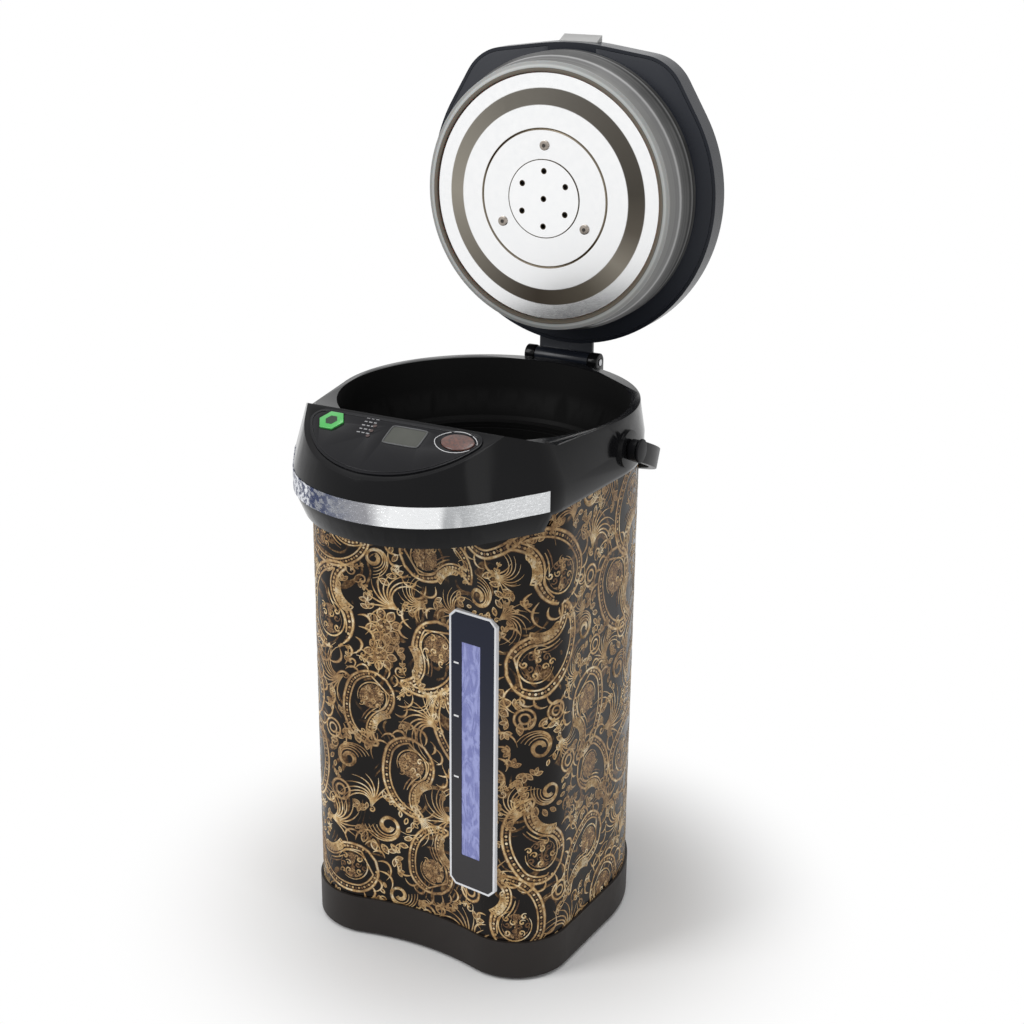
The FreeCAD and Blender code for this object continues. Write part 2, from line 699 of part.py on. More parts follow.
def oval(length, width, low, high):
    ring = Part.Ellipse(Vector(0, 0, low), length / 2, width / 2).toShape()
    return Part.Face(Part.Wire([ring])).extrude(Vector(0, 0, high - low))


def slab(length, width, low, high):
    return Part.makeBox(length, width, high - low, Vector(-length / 2, -width / 2, low))


def shifted(shape, x, y):
    moved = shape.copy()
    moved.translate(Vector(x, y, 0))
    return moved


gap = size("button_gap")
green_place = (size("green_x"), size("green_v"))
dispense_place = (size("dispense_x"), size("dispense_v"))
screen_place = (size("screen_x"), size("screen_v"))
long = size("dispense_length")
wide = size("dispense_width")
panel_holes = [
    shifted(hexagon(size("green_size") + gap, -20, 20), *green_place),
    shifted(oval(long + 2 * gap, wide + 2 * gap, -20, 20), *dispense_place),
    shifted(slab(size("screen_width"), size("screen_height"), -20, 20), *screen_place),
]
lamp_places = [(size("lamp_x"), size("screen_v") + step * size("lamp_pitch")) for step in (-1, 0, 1)]
panel_holes += [Part.makeCylinder(size("lamp_radius"), 40, Vector(x, y, -20)) for x, y in lamp_places]
board_top = panel_low - size("board_drop")
posts = [Part.makeCylinder(2, size("board_drop") + 0.2, Vector(x, y, board_top))
         for x in (-31, 31) for y in (-9, -23)]
panel = panel_block(0, panel_low, size("panel_proud")).cut(panel_holes).fuse(posts)
node(solid("panel", on_console(panel)), "control_panel")

proud = size("panel_proud") + size("button_proud")
button_low = proud - size("button_depth")
switch_top = button_low - size("button_travel") - 0.1
stem_low = switch_top - 2.5
stem = Part.makeCylinder(size("stem_radius"), button_low - stem_low, Vector(0, 0, stem_low))
for name, cap, place in (("green", hexagon(size("green_size"), button_low, proud), green_place),
                         ("dispense", oval(long, wide, button_low, proud), dispense_place)):
    node(solid(name, on_console(shifted(cap.fuse(stem), *place))), name + "_button")
node(solid("screen", on_console(shifted(slab(size("screen_width"), size("screen_height"),
                                             size("panel_proud") - 2, size("panel_proud")),
                                        *screen_place))), "lcd_window")
node(solid("screen_back", on_console(shifted(slab(size("screen_width"), size("screen_height"),
                                                  board_top, size("panel_proud") - 2),
                                             *screen_place))), "lcd_module")
lamps = [Part.makeCylinder(size("lamp_radius"), size("panel_proud") + 0.3 - board_top,
                           Vector(x, y, board_top)) for x, y in lamp_places]
node(solid("lamps", on_console(Part.makeCompound(lamps))), "indicator_lamps")
board = slab(size("board_length"), size("board_width"), board_top - size("board_thick"), board_top)
node(solid("board", on_console(shifted(board, 0, -16))), "control_board")
stem_bore = Part.makeCylinder(size("stem_radius") + size("stem_fit"), FAR,
                              Vector(0, 0, stem_low - size("button_travel") - 0.4))
switches = [shifted(slab(7, 7, board_top, switch_top).cut(stem_bore), *place)
            for place in (green_place, dispense_place)]
node(solid("switches", on_console(Part.makeCompound(switches))), "button_switches")


# Water way: hose from the pump, level tube up the front, hose over to the spout.
def tube(points, bend, outer, wall):
    """A pipe through straight runs joined by tangent arcs."""
    points = [Vector(*point) for point in points]
    edges = []
    start = points[0]
    for before, corner, after in zip(points, points[1:], points[2:]):
        into = (corner - before).normalize()
        out = (after - corner).normalize()
        turn = into.getAngle(out)
        reach = bend * math.tan(turn / 2)
        first = corner - into * reach
        last = corner + out * reach
        inward = (out - into).normalize()
        middle = corner + inward * (bend / math.cos(turn / 2) - bend)
        edges.append(Part.LineSegment(start, first).toShape())
        edges.append(Part.Arc(first, middle, last).toShape())
        start = last
    edges.append(Part.LineSegment(start, points[-1]).toShape())
    path = Part.Wire(edges)
    direction = points[1] - points[0]

    def swept(radius):
        ring = Part.Wire([Part.makeCircle(radius, points[0], direction)])
        return path.makePipeShell([ring], True, True)
    return swept(outer).cut(swept(outer - wall))


tube_x = size("tube_x")
tube_y = size("tube_y")
tray_z = value_of(tray_top)
hose_z = tray_z + size("pump_height") / 2
lead = Vector(tube_x - pump_x, tube_y - pump_y, 0).normalize()
hose_start = Vector(pump_x, pump_y, hose_z) + lead * (size("pump_radius") - 1)
pump_hose = tube([hose_start, (tube_x, tube_y, hose_z), (tube_x, tube_y, size("tube_bottom_z"))], 8,
                 size("pipe_radius"), size("pipe_wall"))
hose_port = Part.makeCylinder(size("pipe_radius"), 20, Vector(pump_x, pump_y, hose_z) + lead * 10, lead)
pump_shell = housing_cut
doc.recompute()
node(solid("pump_body", pump_shell.Shape.cut(hose_port)), "pump_housing")
node(solid("hose", pump_hose.cut(Part.makeCylinder(size("pump_radius") - size("pump_wall"), 40,
                                                   Vector(pump_x, pump_y, tray_z)))), "pump_hose")
glass = cylinder("glass_outer", "Sizes.tube_radius", "Sizes.tube_top_z - Sizes.tube_bottom_z",
                 "Sizes.tube_x", "Sizes.tube_y", "Sizes.tube_bottom_z")
glass_bore = cylinder("glass_bore", "Sizes.tube_radius - Sizes.tube_wall", "600", "Sizes.tube_x",
                      "Sizes.tube_y", "0")
node(cut_from("glass", glass, glass_bore), "level_tube")
spout_y = size("spout_y")
spout_top = size("nose_bottom_z") + 5
over_z = size("nose_bottom_z") + 13
delivery = tube([(tube_x, tube_y, size("tube_top_z")), (tube_x, tube_y, over_z), (0, spout_y, over_z),
                 (0, spout_y, spout_top)], 7, size("tube_radius"), size("tube_wall"))
node(solid("delivery", delivery), "delivery_hose")
spout_low = size("nose_bottom_z") - size("spout_drop")
spout_bore = size("tube_radius") - size("tube_wall")
node(turned("spout", [
    (str(spout_bore), str(spout_low)),
    (str(size("spout_radius") - 2), str(spout_low)),
    (str(size("spout_radius")), str(size("nose_bottom_z") - 1)),
    (str(size("spout_radius")), str(size("nose_bottom_z") + wall)),
    (str(size("spout_radius") - 2.5), str(spout_top)),
    (str(spout_bore), str(spout_top)),
]), "spout_nozzle")
NODES[-1].Placement = Placement(Vector(0, spout_y, 0), Rotation())

# Gauge plate on the front, with its window.
gauge_turn = Rotation(Vector(0, 0, 1), -7.5)
surface_y = -98.0
gauge_place = Placement(Vector(size("gauge_x"), surface_y, size("gauge_bottom_z")), gauge_turn)


def on_gauge(shape):
    placed = shape.copy()
    placed.Placement = gauge_place.multiply(placed.Placement)
    return placed


half_gauge = size("gauge_width") / 2
cut_corner = size("gauge_cut")
tall = size("gauge_length")
outline = [(-half_gauge + cut_corner, 0), (half_gauge - cut_corner, 0), (half_gauge, cut_corner),
           (half_gauge, tall - cut_corner), (half_gauge - cut_corner, tall),
           (-half_gauge + cut_corner, tall), (-half_gauge, tall - cut_corner),
           (-half_gauge, cut_corner)]
gauge_points = [Vector(x, -size("gauge_thick"), z) for x, z in outline]
gauge = Part.Face(Part.makePolygon(gauge_points + gauge_points[:1])).extrude(Vector(0, 9, 0))
window_shift = size("window_x") - size("gauge_x")
window_box = Part.makeBox(size("window_width"), 30, size("window_length"),
                          Vector(window_shift - size("window_width") / 2, -15, size("window_rise")))
sleeve_solid = prism(body_wire(inset, 0), FAR)
node(solid("gauge", on_gauge(gauge.cut(window_box)).cut(sleeve_solid)), "gauge_plate")
pane = Part.makeBox(size("window_width"), 20, size("window_length"),
                    Vector(window_shift - size("window_width") / 2,
                           0.4 - size("gauge_thick"), size("window_rise")))
node(solid("pane", on_gauge(pane).cut(sleeve_solid)), "gauge_window")

# Hinge at the back: a bracket with two ears, and a steel pin.
hinge_y = size("hinge_y")
hinge_z = size("hinge_z")
ear_radius = size("hinge_barrel_radius") + 0.5
half_hinge = size("hinge_half_width")
foot_low = hinge_z - 17
bracket = Part.makeBox(2 * half_hinge, 28, 8, Vector(-half_hinge, hinge_y + ear_radius - 28, foot_low))
for start in (-half_hinge, half_hinge - size("hinge_ear")):
    ear = Part.makeBox(size("hinge_ear"), 2 * ear_radius, hinge_z - foot_low,
                       Vector(start, hinge_y - ear_radius, foot_low))
    knob = Part.makeCylinder(ear_radius, size("hinge_ear"), Vector(start, hinge_y, hinge_z),
                             Vector(1, 0, 0))
    bracket = bracket.fuse([ear, knob])
pin_hole = Part.makeCylinder(size("hinge_pin_radius"), 200, Vector(-100, hinge_y, hinge_z),
                             Vector(1, 0, 0))
node(solid("bracket", bracket.cut([head_outer, pin_hole])), "hinge_bracket")
node(cross_pin("pin", "Sizes.hinge_pin_radius", "Sizes.hinge_half_width + 0.5", "Sizes.hinge_y",
               "Sizes.hinge_z"), "hinge_pin")

# Carrying bail and the two studs that it turns on.
studs = []
bail_outer = size("bail_inner") + size("bail_thick")
for side in (-1, 1):
    stud_in = size("head_back_radius") + 2
    stem = Part.makeCylinder(size("pivot_radius"), bail_outer + 0.5 - stud_in,
                             Vector(side * stud_in, size("pivot_y"), size("pivot_z")),
                             Vector(side, 0, 0))
    cap = Part.makeCylinder(size("pivot_radius") + 2.5, 2,
                            Vector(side * (bail_outer + 0.5), size("pivot_y"), size("pivot_z")),
                            Vector(side, 0, 0))
    studs.append(stem.fuse(cap).removeSplitter())
node(solid("studs", Part.makeCompound(studs)), "bail_studs")
bail_half = size("bail_height") / 2
run = size("bail_run")


def bail_loop(radius, front, low, high):
    disc_part = Part.makeCylinder(radius, high - low, Vector(0, run, low))
    straight = Part.makeBox(2 * radius, run - front, high - low, Vector(-radius, front, low))
    return disc_part.fuse(straight)


bail = bail_loop(bail_outer, -bail_half, -bail_half, bail_half).cut(
    bail_loop(size("bail_inner"), -FAR, -FAR, FAR))
bail = bail.cut(Part.makeBox(FAR, FAR, FAR, Vector(-FAR / 2, -FAR, -FAR / 2)))
for side in (-1, 1):
    bail = bail.fuse(Part.makeCylinder(bail_half, size("bail_thick"),
                                       Vector(side * size("bail_inner"), 0, 0), Vector(side, 0, 0)))
bail = bail.cut(Part.makeCylinder(size("pivot_radius") + size("pivot_fit"), FAR,
                                  Vector(-FAR / 2, 0, 0), Vector(1, 0, 0)))
bail.Placement = Placement(Vector(0, size("pivot_y"), size("pivot_z")),
                           Rotation(Vector(1, 0, 0), -size("bail_drop_angle")))
node(solid("bail", bail), "bail_handle")

# Lid. Its pieces are drawn closed, then swung open together about the hinge.
hinge_point = Vector(0, hinge_y, hinge_z)
swing = Rotation(Vector(1, 0, 0), -size("lid_open_angle"))
lid_open = Placement(hinge_point - swing.multVec(hinge_point), swing)


def open_up(shape):
    placed = shape.copy()
    placed.Placement = lid_open.multiply(placed.Placement)
    return placed


def ring_turn(corners):
    """A ring turned about the lid's axis from (radius, height) corners."""
    points = [Vector(r, 0, z) for r, z in corners]
    return Part.Face(Part.makePolygon(points + points[:1])).revolve(Vector(0, 0, 0),
                                                                  Vector(0, 0, 1), 360)


lid_low = size("rim_z") + size("lid_gap")
lid_brow = lid_low + size("lid_height") - size("lid_crown")
lid_top = lid_low + size("lid_height")
lid_wall = size("lid_wall")
crown_inset = 12
shell_outer = prism(lid_plan(0, lid_low), lid_brow - lid_low).fuse(
    lofted(lid_plan(0, lid_brow), lid_plan(crown_inset, lid_top)))
shell_room = prism(lid_plan(lid_wall, lid_low), lid_brow - lid_low).fuse(
    lofted(lid_plan(lid_wall, lid_brow), lid_plan(crown_inset + lid_wall, lid_top - lid_wall)))
half_latch = size("latch_half_width")
latch_gap = size("latch_gap")
latch_front = size("lid_front_y")
latch_back = latch_front + size("latch_length")
latch_floor = lid_brow - size("latch_lip")
latch_block = Part.makeBox(2 * half_latch + 8, 60, 60,
                           Vector(-half_latch - 4, latch_back + 3 - 60, lid_low))
latch_notch = Part.makeBox(2 * (half_latch + latch_gap), 60, 60,
                           Vector(-half_latch - latch_gap, latch_back + latch_gap - 60,
                                  latch_floor - latch_gap))
lever_top = lid_brow + 2
latch_pin_y = latch_back - size("latch_barrel")
latch_pin_z = lever_top - size("latch_barrel")
latch_pin_hole = Part.makeCylinder(size("latch_pin_radius"), 2 * half_latch + 6,
                                   Vector(-half_latch - 3, latch_pin_y, latch_pin_z), Vector(1, 0, 0))
vent_hole = Part.makeCylinder(12, 60, Vector(0, 25, lid_top - 30))
shell = shell_outer.cut(shell_room.cut(latch_block)).cut([latch_notch, latch_pin_hole, vent_hole])
node(solid("shell", open_up(shell)), "lid_shell")

plug_r = size("plug_radius")
plug_t = size("plug_wall")
plug_low = size("plug_bottom_z")
plug_low_r = size("plug_bottom_radius")
step_z = size("plug_step_z")
plug_tub = ring_turn([
    (12, plug_low), (plug_low_r, plug_low), (plug_r, step_z), (plug_r, lid_low + 2),
    (plug_r - plug_t, lid_low + 2), (plug_r - plug_t, step_z + 0.5),
    (plug_low_r - plug_t, plug_low + plug_t), (12, plug_low + plug_t),
])
plug_lip = prism(lid_plan(lid_wall + 0.2, lid_low), 2).cut(
    Part.makeCylinder(plug_r - plug_t, FAR, Vector(0, 0, 0))).cut(latch_block)
chimney = Part.makeCylinder(12, lid_top - plug_low, Vector(0, 25, plug_low)).cut(
    Part.makeCylinder(10, FAR, Vector(0, 25, 100)))
screw_ring = size("plate_screw_ring")
plate_screw_places = [(screw_ring * math.cos(math.radians(angle)),
                       -screw_ring * math.sin(math.radians(angle))) for angle in (90, 210, 330)]
plug_holes = [Part.makeCylinder(size("plate_screw_radius"), 60, Vector(x, y, plug_low - 20))
              for x, y in plate_screw_places]
plug_holes.append(Part.makeCylinder(10, 40, Vector(0, 25, plug_low - 20)))
plug_bosses = [Part.makeCylinder(5, 10, Vector(x, y, plug_low)) for x, y in plate_screw_places]
plug = plug_tub.fuse([plug_lip, chimney] + plug_bosses).cut(plug_holes + [latch_block]).cut(
    Part.makeCylinder(10, 60, Vector(0, 25, lid_top - lid_wall - 40)).common(
        Part.makeCylinder(10, 60, Vector(0, 25, plug_low + plug_t))))
node(solid("plug", open_up(plug)), "lid_plug")

face_z = size("plate_face_z")
thick = size("plate_thick")
plate_r = size("plate_radius")
centre_z = face_z - 3
plate = ring_turn([
    (24, centre_z), (50, centre_z), (50.6, centre_z + 0.5), (51.2, centre_z), (67.5, centre_z),
    (79.5, face_z), (plate_r - 1, face_z), (plate_r, face_z + 1), (plate_r, plug_low),
    (plate_r - thick, plug_low), (plate_r - thick, face_z + thick + 0.4), (79.2, face_z + thick),
    (67.2, centre_z + thick), (24, centre_z + thick),
])
plate = plate.cut([Part.makeCylinder(size("plate_screw_radius"), 60, Vector(x, y, plug_low - 30))
                   for x, y in plate_screw_places])
node(solid("plate", open_up(plate)), "lid_plate")

vent_places = [(0, 0)] + [(size("vent_ring_radius") * math.cos(math.radians(30 + 60 * k)),
                           size("vent_ring_radius") * math.sin(math.radians(30 + 60 * k)))
                          for k in range(6)]
vent = Part.makeCylinder(size("vent_disc_radius"), size("vent_disc_proud"),
                         Vector(0, 0, centre_z - size("vent_disc_proud")))
vent = vent.cut([Part.makeCylinder(size("vent_hole_radius"), 30, Vector(x, y, centre_z - 15))
                 for x, y in vent_places])
node(solid("vent", open_up(vent)), "vent_disc")

plate_screws = []
for x, y in plate_screw_places:
    head_low = centre_z - 1.4
    screw_head = Part.makeCylinder(size("plate_screw_head"), 1.4, Vector(x, y, head_low))
    screw_stem = Part.makeCylinder(size("plate_screw_radius"), 13, Vector(x, y, head_low))
    plate_screws.append(screw_head.fuse(screw_stem).removeSplitter())
node(solid("plate_screws", open_up(Part.makeCompound(plate_screws))), "plate_screws")

gasket_t = size("gasket_thick")
gasket = ring_turn([
    (plate_r, plug_low - 4), (plate_r + gasket_t, plug_low - 4), (plug_low_r + 2.2, plug_low - 3),
    (plug_low_r + 2.4, plug_low - 2.2), (plate_r + gasket_t, plug_low - 2.4),
    (plate_r + gasket_t, plug_low), (plate_r, plug_low),
])
node(solid("gasket", open_up(gasket)), "lid_gasket")

vent_cap = Part.makeCylinder(11.8, 4.5, Vector(0, 25, lid_top - 2.5)).cut(
    [Part.makeBox(12, 1.6, 20, Vector(-6, 25 + 4 * k - 0.8, lid_top - 5)) for k in (-1, 0, 1)])
vent_flange = Part.makeCylinder(14.5, 1.5, Vector(0, 25, lid_top)).cut(
    Part.makeCylinder(11.8, 10, Vector(0, 25, lid_top - 4)))
chimney_clear = Part.makeCylinder(12.01, 60, Vector(0, 25, plug_low)).cut(
    Part.makeCylinder(9.99, 80, Vector(0, 25, plug_low - 10)))
node(solid("vent_cap", open_up(vent_cap.cut(chimney_clear).fuse(vent_flange))), "steam_vent_cap")

barrel_half = half_hinge - size("hinge_ear") - 0.5
barrel = Part.makeCylinder(size("hinge_barrel_radius"), 2 * barrel_half,
                           Vector(-barrel_half, hinge_y, hinge_z), Vector(1, 0, 0))
leaf = Part.makeBox(2 * barrel_half, 30, size("hinge_barrel_radius") + hinge_z - lid_low,
                    Vector(-barrel_half, hinge_y - 30, lid_low)).cut(shell_outer)
knuckle = barrel.fuse(leaf).cut(
    Part.makeCylinder(size("hinge_pin_radius") + size("hinge_fit"), 200,
                      Vector(-100, hinge_y, hinge_z), Vector(1, 0, 0)))
node(solid("knuckle", open_up(knuckle)), "lid_knuckle")

# Latch at the lid's front edge.
lever = Part.makeBox(2 * half_latch, latch_pin_y - latch_front, size("latch_thick"),
                     Vector(-half_latch, latch_front, lever_top - size("latch_thick")))
lever_lip = Part.makeBox(2 * half_latch, size("latch_thick"), lever_top - latch_floor,
                         Vector(-half_latch, latch_front, latch_floor))
lever_barrel = Part.makeCylinder(size("latch_barrel"), 2 * half_latch,
                                 Vector(-half_latch, latch_pin_y, latch_pin_z), Vector(1, 0, 0))
lever_bore = Part.makeCylinder(size("latch_pin_radius") + 0.05, 100,
                               Vector(-50, latch_pin_y, latch_pin_z), Vector(1, 0, 0))
lever_shape = lever.fuse([lever_lip, lever_barrel]).cut(lever_bore)
node(solid("lever", open_up(lever_shape)), "latch_lever")
node(solid("latch_pin", open_up(latch_pin_hole)), "latch_pin")


# Check every object, then write one file for each sub-part.
doc.recompute()
for thing in doc.Objects:
    if "Invalid" in thing.State or "Error" in thing.State:
        raise RuntimeError("object failed: %s" % thing.Name)
os.makedirs("parts", exist_ok=True)
for thing in NODES:
    shape = thing.Shape
    if shape.isNull() or not shape.isValid():
        raise RuntimeError("bad shape: %s" % thing.Label)
    shape.exportStep("parts/%s.step" % thing.Label)
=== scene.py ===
import math
import random

import bpy
from mathutils import Matrix, Vector


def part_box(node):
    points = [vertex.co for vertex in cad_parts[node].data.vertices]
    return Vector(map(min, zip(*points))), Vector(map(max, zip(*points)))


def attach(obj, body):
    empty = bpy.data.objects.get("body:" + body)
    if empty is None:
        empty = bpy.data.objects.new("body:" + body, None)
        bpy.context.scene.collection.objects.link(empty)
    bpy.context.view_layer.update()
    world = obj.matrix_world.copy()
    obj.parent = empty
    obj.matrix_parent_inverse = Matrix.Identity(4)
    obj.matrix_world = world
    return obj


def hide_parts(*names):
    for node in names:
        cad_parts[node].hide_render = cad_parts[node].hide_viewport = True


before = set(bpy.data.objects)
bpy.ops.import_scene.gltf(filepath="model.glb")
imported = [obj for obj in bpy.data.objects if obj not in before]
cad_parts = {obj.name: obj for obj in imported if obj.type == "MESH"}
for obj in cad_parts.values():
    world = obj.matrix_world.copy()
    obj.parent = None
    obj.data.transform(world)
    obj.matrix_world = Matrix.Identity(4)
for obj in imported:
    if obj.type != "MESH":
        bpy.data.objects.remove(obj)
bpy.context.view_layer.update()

# View: the camera stands where the photograph was taken, to the right of the front and above.
AZIMUTH = math.radians(29.385)
ELEVATION = math.radians(20.257)
CAMERA_PLACE = Vector((0.59007, -1.07957, 0.77274))
SIGHT = Vector((-math.sin(AZIMUTH) * math.cos(ELEVATION),
                math.cos(AZIMUTH) * math.cos(ELEVATION),
                -math.sin(ELEVATION)))
camera_data = bpy.data.cameras.new("camera")
camera_data.sensor_width = 36
camera_data.lens = 62.945
camera_data.shift_x = 0.0489
camera_data.clip_end = 50
camera = bpy.data.objects.new("camera", camera_data)
camera.location = CAMERA_PLACE
camera.rotation_euler = SIGHT.to_track_quat("-Z", "Y").to_euler()
bpy.context.scene.collection.objects.link(camera)
bpy.context.scene.camera = camera
bpy.context.scene.view_settings.view_transform = "Standard"


# Base ring: a moulded foot of matte dark-brown plastic that the sleeve stands in.
# The first finish brings the class that writes shader maths as plain expressions.
class Signal:
    """A shader socket that takes part in Python arithmetic."""

    def __init__(self, finish, socket):
        self.finish = finish
        self.socket = socket

    def __add__(self, other):
        return self.finish.maths("ADD", self, other)

    def __radd__(self, other):
        return self.finish.maths("ADD", other, self)

    def __sub__(self, other):
        return self.finish.maths("SUBTRACT", self, other)

    def __rsub__(self, other):
        return self.finish.maths("SUBTRACT", other, self)

    def __mul__(self, other):
        return self.finish.maths("MULTIPLY", self, other)

    def __rmul__(self, other):
        return self.finish.maths("MULTIPLY", other, self)

    def __truediv__(self, other):
        return self.finish.maths("DIVIDE", self, other)

    def __pow__(self, other):
        return self.finish.maths("POWER", self, other)

    def above(self, limit):
        return self.finish.maths("GREATER_THAN", self, limit)

    def below(self, limit):
        return self.finish.maths("LESS_THAN", self, limit)

    def size(self):
        return self.finish.maths("ABSOLUTE", self)

    def step(self, low, high):
        """0 below low, 1 above high, and smooth between."""
        return self.finish.node("ShaderNodeMapRange", {"Value": self, "From Min": low, "From Max": high},
                                interpolation_type="SMOOTHSTEP")


class Finish:
    """A material, built on one Principled shader."""

    def __init__(self, name, **sockets):
        self.material = bpy.data.materials.new(name)
        self.material.use_nodes = True
        self.tree = self.material.node_tree
        self.shader = self.tree.nodes["Principled BSDF"]
        self.set(**sockets)

    def node(self, kind, inputs=(), output=0, **settings):
        """Any node: its settings first, then its sockets, by place or by name."""
        made = self.tree.nodes.new(kind)
        stops = settings.pop("stops", None)
        for key, value in settings.items():
            setattr(made, key, value)
        if stops:
            ramp = made.color_ramp.elements
            while len(ramp) < len(stops):
                ramp.new(0.5)
            for element, (place, colour) in zip(ramp, stops):
                element.position = place
                element.color = (*colour, 1)
        pairs = inputs.items() if isinstance(inputs, dict) else enumerate(inputs)
        for key, value in pairs:
            if value is None:
                continue
            if isinstance(value, Signal):
                self.tree.links.new(value.socket, made.inputs[key])
            else:
                made.inputs[key].default_value = value
        return Signal(self, made.outputs[output])

    def set(self, **sockets):
        for name, value in sockets.items():
            socket = self.shader.inputs[name.replace("_", " ").title().replace("Ior", "IOR")]
            if isinstance(value, Signal):
                self.tree.links.new(value.socket, socket)
            elif isinstance(value, tuple) and len(value) == 3:
                socket.default_value = (*value, 1)
            else:
                socket.default_value = value
        return self

    def maths(self, operation, *values):
        return self.node("ShaderNodeMath", values, operation=operation)

    def place(self):
        """Object coordinates, in metres."""
        return self.node("ShaderNodeTexCoord", output="Object")

    def axes(self):
        place = self.place()
        return [self.node("ShaderNodeSeparateXYZ", {"Vector": place}, output=axis) for axis in "XYZ"]

    def noise(self, scale, detail=2, roughness=0.5, stretch=None, distortion=0.0):
        place = self.place()
        if stretch:
            place = self.node("ShaderNodeMapping", {"Vector": place, "Scale": stretch})
        return self.node("ShaderNodeTexNoise", {"Vector": place, "Scale": scale, "Detail": detail,
                                                "Roughness": roughness, "Distortion": distortion})

    def ramp(self, fac, stops):
        return self.node("ShaderNodeValToRGB", {"Fac": fac}, stops=stops)

    def mix(self, fac, first, second):
        """A colour between two others."""
        def rgba(colour):
            return colour if isinstance(colour, Signal) else (*colour, 1)
        return self.node("ShaderNodeMix", {0: fac, 6: rgba(first), 7: rgba(second)}, output=2,
                         data_type="RGBA")

    def bump(self, height, strength=0.3, depth=0.0005):
        self.set(normal=self.node("ShaderNodeBump", {"Strength": strength, "Distance": depth,
                                                     "Height": height}))
        return self


def paint(finish, *names):
    """Give CAD nodes a finish in place of the plain one they came with."""
    for name in names:
        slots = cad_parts[name].data.materials
        slots.clear()
        slots.append(finish.material)


def moulded(name, dark, light, roughness, grain=1400, relief=0.12, gloss=0.5):
    """Moulded plastic: a slow drift of tone, a fine grain and a little unevenness in its gloss."""
    made = Finish(name, ior=1.46, specular_ior_level=gloss)
    drift = made.noise(14, 3, 0.55)
    made.set(base_color=made.mix(drift, dark, light),
             roughness=made.noise(90, 3) * 0.1 + (roughness - 0.05))
    return made.bump(made.noise(grain, 2), relief, 0.00008)


base_plastic = moulded("base_plastic", (0.014, 0.011, 0.010), (0.022, 0.018, 0.016), 0.5, 2600, 0.3, 0.3)
paint(base_plastic, "base_ring", "bottom_cover")
rubber = moulded("foot_rubber", (0.015, 0.015, 0.015), (0.024, 0.024, 0.023), 0.8, 3000, 0.4)
paint(rubber, "feet")


def softened(node, name, body, finish, width, angle=32, segments=3, level=False):
    """A copy of a CAD node with its moulded edges rounded, which stands for that node.

    A level one keeps its broad faces flat in the light.
    """
    bpy.ops.object.select_all(action="DESELECT")
    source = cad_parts[node]
    made = bpy.data.objects.new(name, source.data.copy())
    bpy.context.scene.collection.objects.link(made)
    bpy.context.view_layer.objects.active = made
    made.select_set(True)
    bpy.ops.object.mode_set(mode="EDIT")
    bpy.ops.mesh.select_all(action="SELECT")
    bpy.ops.mesh.customdata_custom_splitnormals_clear()
    bpy.ops.mesh.remove_doubles(threshold=0.00001)
    bpy.ops.mesh.dissolve_limited(angle_limit=math.radians(0.6))
    bpy.ops.object.mode_set(mode="OBJECT")
    bevel = made.modifiers.new("edges", "BEVEL")
    bevel.width = width
    bevel.segments = segments
    bevel.limit_method = "ANGLE"
    bevel.angle_limit = math.radians(angle)
    bevel.miter_outer = "MITER_ARC"
    bevel.harden_normals = False
    bpy.ops.object.modifier_apply(modifier="edges")
    bpy.ops.object.shade_smooth_by_angle(angle=math.radians(28))
    if level:
        weighted = made.modifiers.new("shading", "WEIGHTED_NORMAL")
        weighted.mode = "FACE_AREA"
        weighted.weight = 100
        weighted.keep_sharp = True
        bpy.ops.object.modifier_apply(modifier="shading")
    made.data.materials.clear()
    made.data.materials.append(finish.material)
    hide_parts(node)
    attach(made, body)
    return made


# Metal inside the base: plated screws, the brass pins of the mains inlet and the pump's motor.
# Turned and pressed parts, dull from plating.
zinc = Finish("plated_zinc", metallic=1.0)
zinc.set(base_color=zinc.mix(zinc.noise(60, 3), (0.42, 0.43, 0.45), (0.6, 0.6, 0.6)),
         roughness=zinc.noise(200, 2) * 0.2 + 0.25)
paint(zinc, "base_screws", "pump_motor", "hinge_pin", "latch_pin", "thermostat")
brass = Finish("pin_brass", metallic=1.0)
brass.set(base_color=brass.mix(brass.noise(300, 2), (0.55, 0.4, 0.16), (0.75, 0.58, 0.28)),
          roughness=brass.noise(500, 2) * 0.2 + 0.22)
paint(brass, "inlet_pins")
inner_plastic = moulded("inner_plastic", (0.02, 0.02, 0.021), (0.032, 0.032, 0.033), 0.5)
paint(inner_plastic, "base_tray", "mains_inlet", "pump_housing", "tank_pillars", "lcd_module",
      "button_switches", "spout_nozzle")
nylon = moulded("white_nylon", (0.72, 0.72, 0.7), (0.8, 0.8, 0.78), 0.45)
paint(nylon, "pump_impeller")
board_lacquer = Finish("board_lacquer", roughness=0.35)
board_lacquer.set(base_color=board_lacquer.ramp(board_lacquer.noise(400, 1), [
    (0.45, (0.01, 0.11, 0.04)), (0.5, (0.02, 0.2, 0.08)), (0.62, (0.03, 0.24, 0.1))]))
paint(board_lacquer, "power_board", "control_board")


